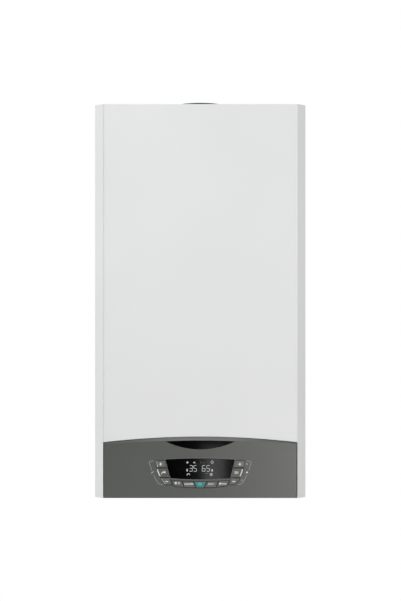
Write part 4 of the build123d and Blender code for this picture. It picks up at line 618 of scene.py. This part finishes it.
# painted shadow: near black strokes in the grooves round the row keys and along the columns, standing in
# for the shade in the gaps
row = {
    "ends": 54.5, "topEnd": 33.8, "topMiddle": 31.4, "footEnd": 23.2, "footMiddle": 20.0,
    "splits": (-54.5, -35.3, -13.5, 13.5, 35.3, 54.5), "slope": 0.42,
}
gapShade = {
    "width": 0.8, "thick": 0.1, "rowEndWidth": 0.96, "rowFootWidth": 1.04,
    "footHeights": (25.3, 28.0, 31.0, 34.5, 38.4), "footGap": 0.4, "footWidth": 0.96,
    "railEnds": (40.2, 71.5), "railGaps": {-1: (1.2, 0.4), 1: (0.6, 0.4)}, "railWidth": 0.56,
    "innerGap": -0.3,
}
halfGapShade = gapShade["width"] / 2


def rowTop(x):
    return row["topMiddle"] + (row["topEnd"] - row["topMiddle"]) * (x / row["ends"]) ** 2


def rowFoot(x):
    return row["footMiddle"] + (row["footEnd"] - row["footMiddle"]) * (x / row["ends"]) ** 2


def leaned(x, height):
    # the row's splits lean in towards their foot
    return x - math.copysign(row["slope"] * (row["topEnd"] - height), x), height


gapShadowStrokes = []
lowest, highest = gapShade["footHeights"][0], gapShade["footHeights"][-1]
for side in (-1, 1):
    for low, high in columns["cells"]:
        for height in (low - halfGapShade, high + halfGapShade):
            ends = [(columnOuter(height), height), (columnInner(height), height)]
            gapShadowStrokes.append((onSide(side, ends), gapShade["width"]))
    around = [(columnOuter(height) + gapShade["footGap"], height) for height in gapShade["footHeights"]]
    gapShadowStrokes.append((onSide(side, [(columnInner(lowest), lowest)] + around), gapShade["footWidth"]))
    rail = columnStroke(*gapShade["railEnds"], *gapShade["railGaps"][side])
    gapShadowStrokes.append((onSide(side, rail), gapShade["railWidth"]))
    inner = [(columnInner(height) + gapShade["innerGap"], height) for height in (lowest, highest)]
    gapShadowStrokes.append((onSide(side, inner), gapShade["railWidth"]))
rowReach = row["ends"] + halfGapShade
footReach = leaned(rowReach, row["footEnd"])[0]
gapShadowStrokes.append((archLine(rowReach, rowTop(0) + halfGapShade, rowTop(rowReach) + halfGapShade), gapShade["width"]))
rowFootLine = archLine(footReach, rowFoot(0) - halfGapShade, rowFoot(rowReach) - halfGapShade)
gapShadowStrokes.append((rowFootLine, gapShade["rowFootWidth"]))
for x in row["splits"]:
    atEnd = abs(x) == row["ends"]
    if atEnd:
        x = math.copysign(rowReach, x)
    split = [leaned(x, rowTop(x)), leaned(x, rowFoot(x))]
    gapShadowStrokes.append((split, gapShade["rowEndWidth"] if atEnd else gapShade["width"]))
# these near black strokes are painted shade laid over the gaps round the keys
layMarks("paintedKeyGapShadows", "control_panel", keyGapShadowInk, faceDepth, strokes=gapShadowStrokes, film=gapShade["thick"])

# raised bead round the display's glass; its paler grey is a painted highlight, the light caught along
# the edge of the glass's pocket
highlightBead = {
    "top": (66.4, 76.4, 74.0), "foot": (56.7, 35.2, 37.4), "width": 0.7, "thick": 0.25,
}
beadLine = archLine(*highlightBead["top"]) + archLine(*highlightBead["foot"])[::-1]
layMarks("glassBeadPaintedHighlight", "control_panel", beadPaintedHighlight, faceDepth, rings=[(beadLine, highlightBead["width"])],
         film=highlightBead["thick"])

# black printed on the panel between the glass and its bead, and along the badge's upper edge
borders = {
    "left": [(-66.2, 72.6), (-64.2, 72.6), (-54.4, 37.7), (-57.0, 37.6)],
    "right": [(65.0, 72.6), (64.2, 72.6), (54.4, 37.7), (56.4, 37.6)],
    "top": (65.6, 75.4, 73.3), "topShift": -0.6, "topInner": (64.2, 74.0, 72.0), "thick": 0.1,
    "badge": (65.5, 109.2, 107.5), "badgeInner": (64.6, 108.05, 107.05),
}
borderTop = [(x + borders["topShift"], height) for x, height in archLine(*borders["top"])]
layMarks("glassBorder", "control_panel", finishOfSlot["display_black"], faceDepth, film=borders["thick"],
         plates=[borders["left"], borders["right"], borderTop + archLine(*borders["topInner"])[::-1]])
layMarks("badgeBorder", "control_panel", finishOfSlot["badge_black"], faceDepth,
         film=badgeDepth - faceDepth,
         plates=[archLine(*borders["badge"]) + archLine(*borders["badgeInner"])[::-1]])

# hem of the front cover: its arched lower edge is folded back on itself
hem = {"arch": (189.2, 116.85, 105.45), "steps": 32, "tall": 0.7, "depth": 316.0, "thick": 0.95}
layMarks("coverHem", "front_cover", finishOfSlot["white_enamel"], hem["depth"], film=hem["thick"],
         strokes=[(archLine(*hem["arch"], hem["steps"]), hem["tall"])])
print("lips, bead, borders and hem laid")

# lit display: two numbers and small pictures
segments = {  # half sizes of a digit, and the length that each bar keeps clear at its ends
    "halfWide": 2.75, "halfTall": 5.5, "bar": 0.9, "gap": 0.45, "lean": 0.04,
}
segmentPlaces = {
    "a": ((-1, 1), (1, 1)), "b": ((1, 1), (1, 0)), "c": ((1, 0), (1, -1)), "d": ((-1, -1), (1, -1)),
    "e": ((-1, 0), (-1, -1)), "f": ((-1, 1), (-1, 0)), "g": ((-1, 0), (1, 0)),
}
litSides = {"3": "abgcd", "5": "afgcd", "6": "afgedc"}


def segmentOutline(sideName, x, height):
    ends = []
    for across, rise in segmentPlaces[sideName]:
        ends.append(Vector((across * segments["halfWide"], rise * segments["halfTall"])))
    along = (ends[1] - ends[0]).normalized()
    wide = Vector((-along.y, along.x)) * segments["bar"] / 2
    tip = segments["bar"] / 2
    start, end = ends[0] + along * segments["gap"] / 2, ends[1] - along * segments["gap"] / 2
    shoulder, shoulderEnd = start + along * tip, end - along * tip
    corners = [start, shoulder + wide, shoulderEnd + wide, end, shoulderEnd - wide, shoulder - wide]
    return [(x + c.x + c.y * segments["lean"], height + c.y) for c in corners]


numbers = {
    "height": 56.5,
    "waterNumber": (("3", -17.6), ("5", -9.7)), "heatingNumber": (("6", 6.5), ("5", 14.8)),
}
for name in ("waterNumber", "heatingNumber"):
    outlines = []
    for digit, x in numbers[name]:
        outlines += [segmentOutline(sideName, x, numbers["height"]) for sideName in litSides[digit]]
    layMarks(name, "control_panel", segmentLight, faceDepth, plates=outlines)

icons = {
    "diamond": [(19.7, 68.2), (22.6, 71.1), (25.5, 68.2), (22.6, 65.3)], "diamondLine": 0.7,
    "drop": [(-26.4, 67.8), (-24.2, 70.0), (-22.0, 67.8), (-24.2, 65.6)],
    "roof": [(-13.7, 66.6), (-11.2, 69.4), (-8.7, 66.6)],
    "bars": [(-24.8, 53.2, 2.5, 4.4), (22.4, 52.8, 2.5, 4.4)],
    "faintBar": (11.4, 47.2, 6.2, 0.9), "faintLine": 0.9,
    "faintLines": ([(0.2, 69.5), (0.7, 67.0), (2.0, 66.8)], [(4.4, 66.6), (8.2, 67.0)]),
    "tapAt": (-22.4, 45.4), "tapLine": 1.4,
    "tap": [(-2.7, -1.7), (-1.9, 0.3), (-0.2, 1.3), (1.5, 0.8), (2.5, -1.1)],
    "radiatorAt": (20.6, 45.1), "shrink": 0.66,  # narrower than the radiator beside the keys
}
layMarks("displayIcons", "control_panel", segmentLight, faceDepth,
         rings=[(icons["diamond"], icons["diamondLine"])],
         plates=[icons["drop"], icons["roof"]] + [barOutline(*bar) for bar in icons["bars"]])
layMarks("displayFaint", "control_panel", faintSegment, faceDepth,
         plates=[barOutline(*icons["faintBar"])],
         strokes=[(points, icons["faintLine"]) for points in icons["faintLines"]])
layMarks("displayTap", "control_panel", segmentLight, faceDepth, centre=icons["tapAt"],
         strokes=[(icons["tap"], icons["tapLine"])])
shrink = icons["shrink"]
layMarks("displayRadiator", "control_panel", segmentLight, faceDepth, centre=icons["radiatorAt"],
         strokes=[([(x * shrink, h) for x, h in points], w * shrink) for points, w in ribs],
         plates=[[(x * shrink, h) for x, h in outline] for outline in rails])
print("display laid")

# studio: pale floor, white surroundings, a large soft light up and left, and four smaller ones
studio = {
    "floorHeight": -2.35, "floorReach": 2.6, "surroundings": 0.66,
    "flagWay": (0.0, -0.99, -0.12), "flagStrength": 0.005, "flagEdge": (0.8, 0.955),
}
# painted concrete: pale and matt, with large faint clouds
floorLook = {
    "colour": "#f0efec", "colourTwo": "#eceae6", "patchMm": 700.0, "grainMm": 4.0,
    "grainDeepMm": 0.05, "roughness": (0.55, 0.7), "ior": 1.5,
}
shape = bmesh.new()
floorReach = studio["floorReach"]
shape.faces.new([
    shape.verts.new((floorReach * across, floorReach * away, studio["floorHeight"]))
    for across, away in ((-1, -1), (1, -1), (1, 1), (-1, 1))
])
floor = addObject("studioFloor", shape, plainFinish("paintedConcrete", floorLook))

# a dark flag in front of the boiler keeps the black glass black, and the camera sees white
world = bpy.data.worlds.new("studioWorld")
bpy.context.scene.world = world
world.use_nodes = True
tree = world.node_tree
background = tree.nodes["Background"]
way = addNode(tree, "TexCoord").outputs["Generated"]
facing = addNode(tree, "VectorMath", {1: studio["flagWay"]}, {0: way}, operation="DOT_PRODUCT")
roomGlow = addNode(
    tree, "MapRange",
    {"From Min": studio["flagEdge"][0], "From Max": studio["flagEdge"][1],
     "To Min": studio["surroundings"], "To Max": studio["flagStrength"]},
    {"Value": facing.outputs["Value"]},
).outputs[0]
straight = addNode(tree, "LightPath").outputs["Is Camera Ray"]
strength = addNode(tree, "Mix", {3: 1.0}, {0: straight, 2: roomGlow}).outputs[0]
background.inputs["Color"].default_value = (1.0, 1.0, 1.0, 1.0)
tree.links.new(strength, background.inputs["Strength"])

lights = {
    "keyLight": {"at": (-2.3, -2.9, 1.5), "size": (1.9, 1.9), "power": 56.0},
    "frontLight": {"at": (0.1, -2.5, 1.8), "size": (2.6, 0.5), "power": 14.0},
    "rightLight": {"at": (2.2, -2.2, 0.2), "size": (1.2, 1.4), "power": 5.0},
    "satinLight": {"at": (0.73, -3.2, -1.03), "size": (0.35, 0.6), "power": 11.5},
    "glareStrip": {"at": (0.056, -3.25, -1.19), "size": (0.085, 0.52), "power": 0.27},
}
lookAt = Vector((0.0, -0.25, -0.32))  # near the middle of the casing
for name, look in lights.items():
    light = bpy.data.lights.new(name, "AREA")
    light.shape = "RECTANGLE"
    light.size, light.size_y = look["size"]
    light.energy = look["power"]
    lamp = bpy.data.objects.new(name, light)
    lamp.location = look["at"]
    lamp.rotation_euler = (lookAt - Vector(look["at"])).to_track_quat("-Z", "Y").to_euler()
    lamp.visible_camera = False
    bpy.context.scene.collection.objects.link(lamp)

cameraLook = {"at": (0.00045, -2.719, -0.3114), "lensMm": 76.13}
camera = bpy.data.cameras.new("photoCamera")
camera.lens = cameraLook["lensMm"]
eye = bpy.data.objects.new("photoCamera", camera)
eye.location = cameraLook["at"]
eye.rotation_euler = (math.pi / 2, 0, 0)
bpy.context.scene.collection.objects.link(eye)
bpy.context.scene.camera = eye
print("studio ready")
